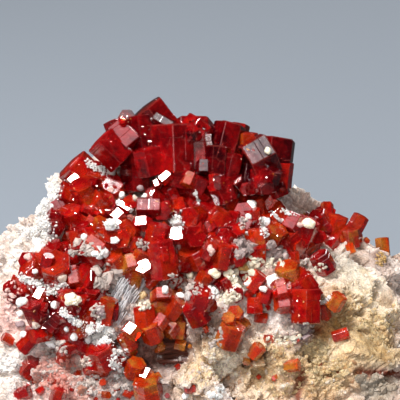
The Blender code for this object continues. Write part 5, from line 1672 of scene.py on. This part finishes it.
def dim_world(settings):
    """Soft light from all round, which the crystals mirror as a dark room."""
    world = bpy.data.worlds.new("studio")
    world.use_nodes = True
    tree = world.node_tree
    background = tree.nodes["Background"]
    background.inputs["Color"].default_value = (*settings.sky, 1.0)
    dimmer = mirror_dimmer(tree, settings.sky_strength, settings.sky_strength * settings.mirrored)
    wire(tree, (dimmer, "Result", background, "Strength"))
    return world


class SPECIMEN_OT_stage(bpy.types.Operator):
    """Make the floor, the lights, the world and the camera"""
    bl_idname = "specimen.stage"
    bl_label = "Stage"

    def execute(self, context):
        settings = context.scene.specimen_stage
        scene = context.scene
        turn = np.arange(FLOOR_SIDES) / FLOOR_SIDES * FULL_TURN
        rim = np.stack((np.cos(turn), np.sin(turn), np.zeros(FLOOR_SIDES)), axis=-1)
        mesh = bpy.data.meshes.new("floor")
        mesh.from_pydata((rim * settings.floor_radius).tolist(), [], [tuple(range(FLOOR_SIDES))])
        mesh.materials.append(floor_material(settings))
        floor = bpy.data.objects.new("floor", mesh)
        scene.collection.objects.link(floor)

        area_light("key", KEY_SIDE, 0.5, settings.key_size, settings.key_power, (1.0, 0.98, 0.95))
        area_light("halo", KEY_SIDE, 0.56, 0.42, settings.halo_power, (0.97, 0.95, 1.0))
        area_light("fill", FILL_SIDE, 0.6, 0.3, settings.fill_power, (1.0, 0.98, 0.96),
                   mirrored=False)
        area_light("rim", RIM_SIDE, 0.6, 0.25, settings.rim_power, (1.0, 1.0, 1.0))

        scene.world = dim_world(settings)
        scene.view_settings.view_transform = "Standard"

        camera = bpy.data.cameras.new("camera")
        camera.sensor_width = 36.0
        camera.lens = camera.sensor_width * VIEW_DISTANCE / VIEW_WIDTH
        camera.clip_start = 0.01
        camera.clip_end = 5.0
        eye = bpy.data.objects.new("camera", camera)
        eye.location = Vector(((VIEW_TARGET + FRONT[2] * VIEW_DISTANCE) * MM).tolist())
        eye.rotation_euler = Vector(FRONT[2].tolist()).to_track_quat("Z", "Y").to_euler()
        scene.collection.objects.link(eye)
        scene.camera = eye
        return {"FINISHED"}


def colour_property(name, description, red, green, blue):
    """A colour given as the eye sees it, from 0 to 255, kept as linear light."""
    shares = np.array((red, green, blue)) / 255.0
    light = np.where(shares <= 0.04045, shares / 12.92, ((shares + 0.055) / 1.055) ** 2.4)
    return FloatVectorProperty(name=name, description=description, subtype="COLOR", size=3,
                               min=0.0, max=1.0, default=tuple(light.tolist()))


class RockSettings(bpy.types.PropertyGroup):
    """Sizes and colours of the rock and the minerals on it."""
    columns: IntProperty(name="Columns", description="Columns of the rock's surface", default=560)
    rows: IntProperty(name="Rows", description="Rows of the rock's surface", default=168)
    coarse_grains: IntProperty(name="Coarse grains", description="How many", default=2800)
    fine_grains: IntProperty(name="Fine grains", description="How many", default=9500)
    coarse_size: FloatProperty(name="Coarse grain", description="Size of a coarse grain",
                               default=0.0007, unit="LENGTH")
    fine_size: FloatProperty(name="Fine grain", description="Size of a fine grain",
                             default=0.0004, unit="LENGTH")
    sugar_size: FloatProperty(name="Sugar grain", description="Size of a grain of the crusts",
                              default=0.00022, unit="LENGTH")
    white: colour_property("White", "Crusts and clean rock", 238, 234, 228)
    cream: colour_property("Cream", "Cream beads", 232, 218, 192)
    pale: colour_property("Pale", "Clean rock", 216, 204, 198)
    quartz: colour_property("Quartz", "Cloudy quartz", 182, 166, 158)
    beige: colour_property("Beige", "Plain rock", 194, 173, 160)
    tan: colour_property("Tan", "Sandy rock", 196, 166, 122)
    ochre: colour_property("Ochre", "Iron-stained rock", 176, 138, 84)
    pink: colour_property("Pink", "Pink quartz", 214, 172, 164)
    rose: colour_property("Rose", "Red-stained quartz", 190, 118, 106)
    grey: colour_property("Grey", "Grey quartz", 178, 168, 164)
    slate: colour_property("Slate", "Dark grey quartz", 146, 132, 116)
    smoky: colour_property("Smoky", "Smoky quartz", 158, 138, 134)
    violet: colour_property("Violet", "Violet-grey quartz", 142, 120, 122)
    chalk: colour_property("Chalk", "Smooth pale rock", 172, 164, 152)
    olive: colour_property("Olive", "Dull iron-stained rock", 162, 136, 94)
    red: colour_property("Red", "Red stain", 172, 62, 48)
    rust: colour_property("Rust", "Stained rock under the crystals", 128, 40, 30)
    silver: colour_property("Silver", "Silvery fibres", 190, 185, 185)
    # Painted shade: brown and umber darken hollows as their shade would, and maroon is red stain with
    # that shade laid in.
    brown: colour_property("Brown", "Dark hollows", 110, 82, 74)
    umber: colour_property("Umber", "Darkest hollows", 88, 48, 38)
    maroon: colour_property("Maroon", "Red-stained hollows", 70, 22, 18)
    # Partly the real stain at the bottom of cracks, partly painted shade there.
    crack_stain_and_shade: colour_property("Stain", "The bottom of cracks", 108, 40, 14)


class CrystalSettings(bpy.types.PropertyGroup):
    """Colours and growth of the crystals."""
    maroon: colour_property("Maroon", "Darkest tone", 72, 0, 8)
    red: colour_property("Red", "Usual tone", 202, 10, 15)
    orange: colour_property("Orange", "Orange tone", 224, 62, 14)
    amber: colour_property("Amber", "Lightest tone", 226, 140, 50)
    # A painted highlight: the pale colour, and how strongly it shows along the crystals' edges, stand in
    # for light that the edges catch.
    edge_highlight: colour_property("Worn", "Worn edges", 205, 88, 80)
    edge_highlight_strength: FloatProperty(name="Wear", description="How much worn edges show", default=0.4)
    fractures: FloatProperty(name="Fractures", description="How much inner cracks show", default=0.45)
    red_absorption: FloatVectorProperty(name="Red depth", description="Light kept in the red ones",
                                        subtype="COLOR", size=3, default=(0.9, 0.12, 0.06))
    orange_absorption: FloatVectorProperty(name="Orange depth", subtype="COLOR", size=3,
                                           description="Light kept in the orange ones",
                                           default=(0.95, 0.4, 0.1))
    density: FloatProperty(name="Density", description="How fast light dies inside, per metre",
                           default=700.0)
    ior: FloatProperty(name="IOR", description="How far light bends", default=2.0)
    clearness: FloatProperty(name="Clearness", description="Share of light let in", default=0.6)
    blocks: IntProperty(name="Blocks", description="Parallel blocks on a big crystal", default=3)
    block_width: FloatProperty(name="Block carrier", unit="LENGTH", default=0.0021,
                               description="Least width of a crystal that has blocks")


class StageSettings(bpy.types.PropertyGroup):
    """The floor and the light."""
    floor: colour_property("Floor", "Floor colour", 131, 140, 151)
    floor_radius: FloatProperty(name="Floor radius", description="Half the floor's width",
                                default=0.9, unit="LENGTH")
    key_power: FloatProperty(name="Key", description="Power of the key light", default=4.05)
    key_size: FloatProperty(name="Key size", description="Width of the key light", default=0.13,
                            unit="LENGTH")
    halo_power: FloatProperty(name="Halo", description="Power of the pale halo round the key",
                              default=0.52)
    fill_power: FloatProperty(name="Fill", description="Power of the fill light", default=1.8)
    rim_power: FloatProperty(name="Rim", description="Power of the light behind", default=1.0)
    sky: colour_property("Sky", "Colour of the surrounding light", 206, 200, 194)
    sky_strength: FloatProperty(name="Sky strength", description="Surrounding light", default=0.4)
    mirrored: FloatProperty(name="Mirrored", description="Share of the room that mirrors show",
                            default=0.06)


STEPS = ("rock", "crystals", "small_crystals", "grains", "clumps", "beads", "crusts", "fibres",
         "sparks", "stage")


class SPECIMEN_PT_panel(bpy.types.Panel):
    """Settings and steps of the specimen"""
    bl_label = "Specimen"
    bl_idname = "SPECIMEN_PT_panel"
    bl_space_type = "VIEW_3D"
    bl_region_type = "UI"
    bl_category = "Specimen"

    def draw(self, context):
        for group in ("specimen_rock", "specimen_crystals", "specimen_stage"):
            settings = getattr(context.scene, group)
            box = self.layout.box()
            for name in settings.bl_rna.properties.keys():
                if name not in ("name", "rna_type"):
                    box.prop(settings, name)
        for step in STEPS:
            self.layout.operator("specimen." + step)


CLASSES = (
    RockSettings, CrystalSettings, StageSettings,
    SPECIMEN_OT_rock, SPECIMEN_OT_crystals, SPECIMEN_OT_small_crystals, SPECIMEN_OT_grains,
    SPECIMEN_OT_clumps, SPECIMEN_OT_beads, SPECIMEN_OT_crusts, SPECIMEN_OT_fibres,
    SPECIMEN_OT_sparks, SPECIMEN_OT_stage,
    SPECIMEN_PT_panel,
)
GROUPS = {"specimen_rock": RockSettings, "specimen_crystals": CrystalSettings,
          "specimen_stage": StageSettings}


def register():
    """Register the classes and hang their settings on the scene."""
    for made in CLASSES:
        bpy.utils.register_class(made)
    for name, group in GROUPS.items():
        setattr(bpy.types.Scene, name, PointerProperty(type=group))


def unregister():
    """Take the settings off the scene and unregister the classes."""
    for name in GROUPS:
        delattr(bpy.types.Scene, name)
    for made in reversed(CLASSES):
        bpy.utils.unregister_class(made)


def main():
    """Run every step in order."""
    register()
    for step in STEPS:
        getattr(bpy.ops.specimen, step)()


if __name__ == "__main__":
    main()
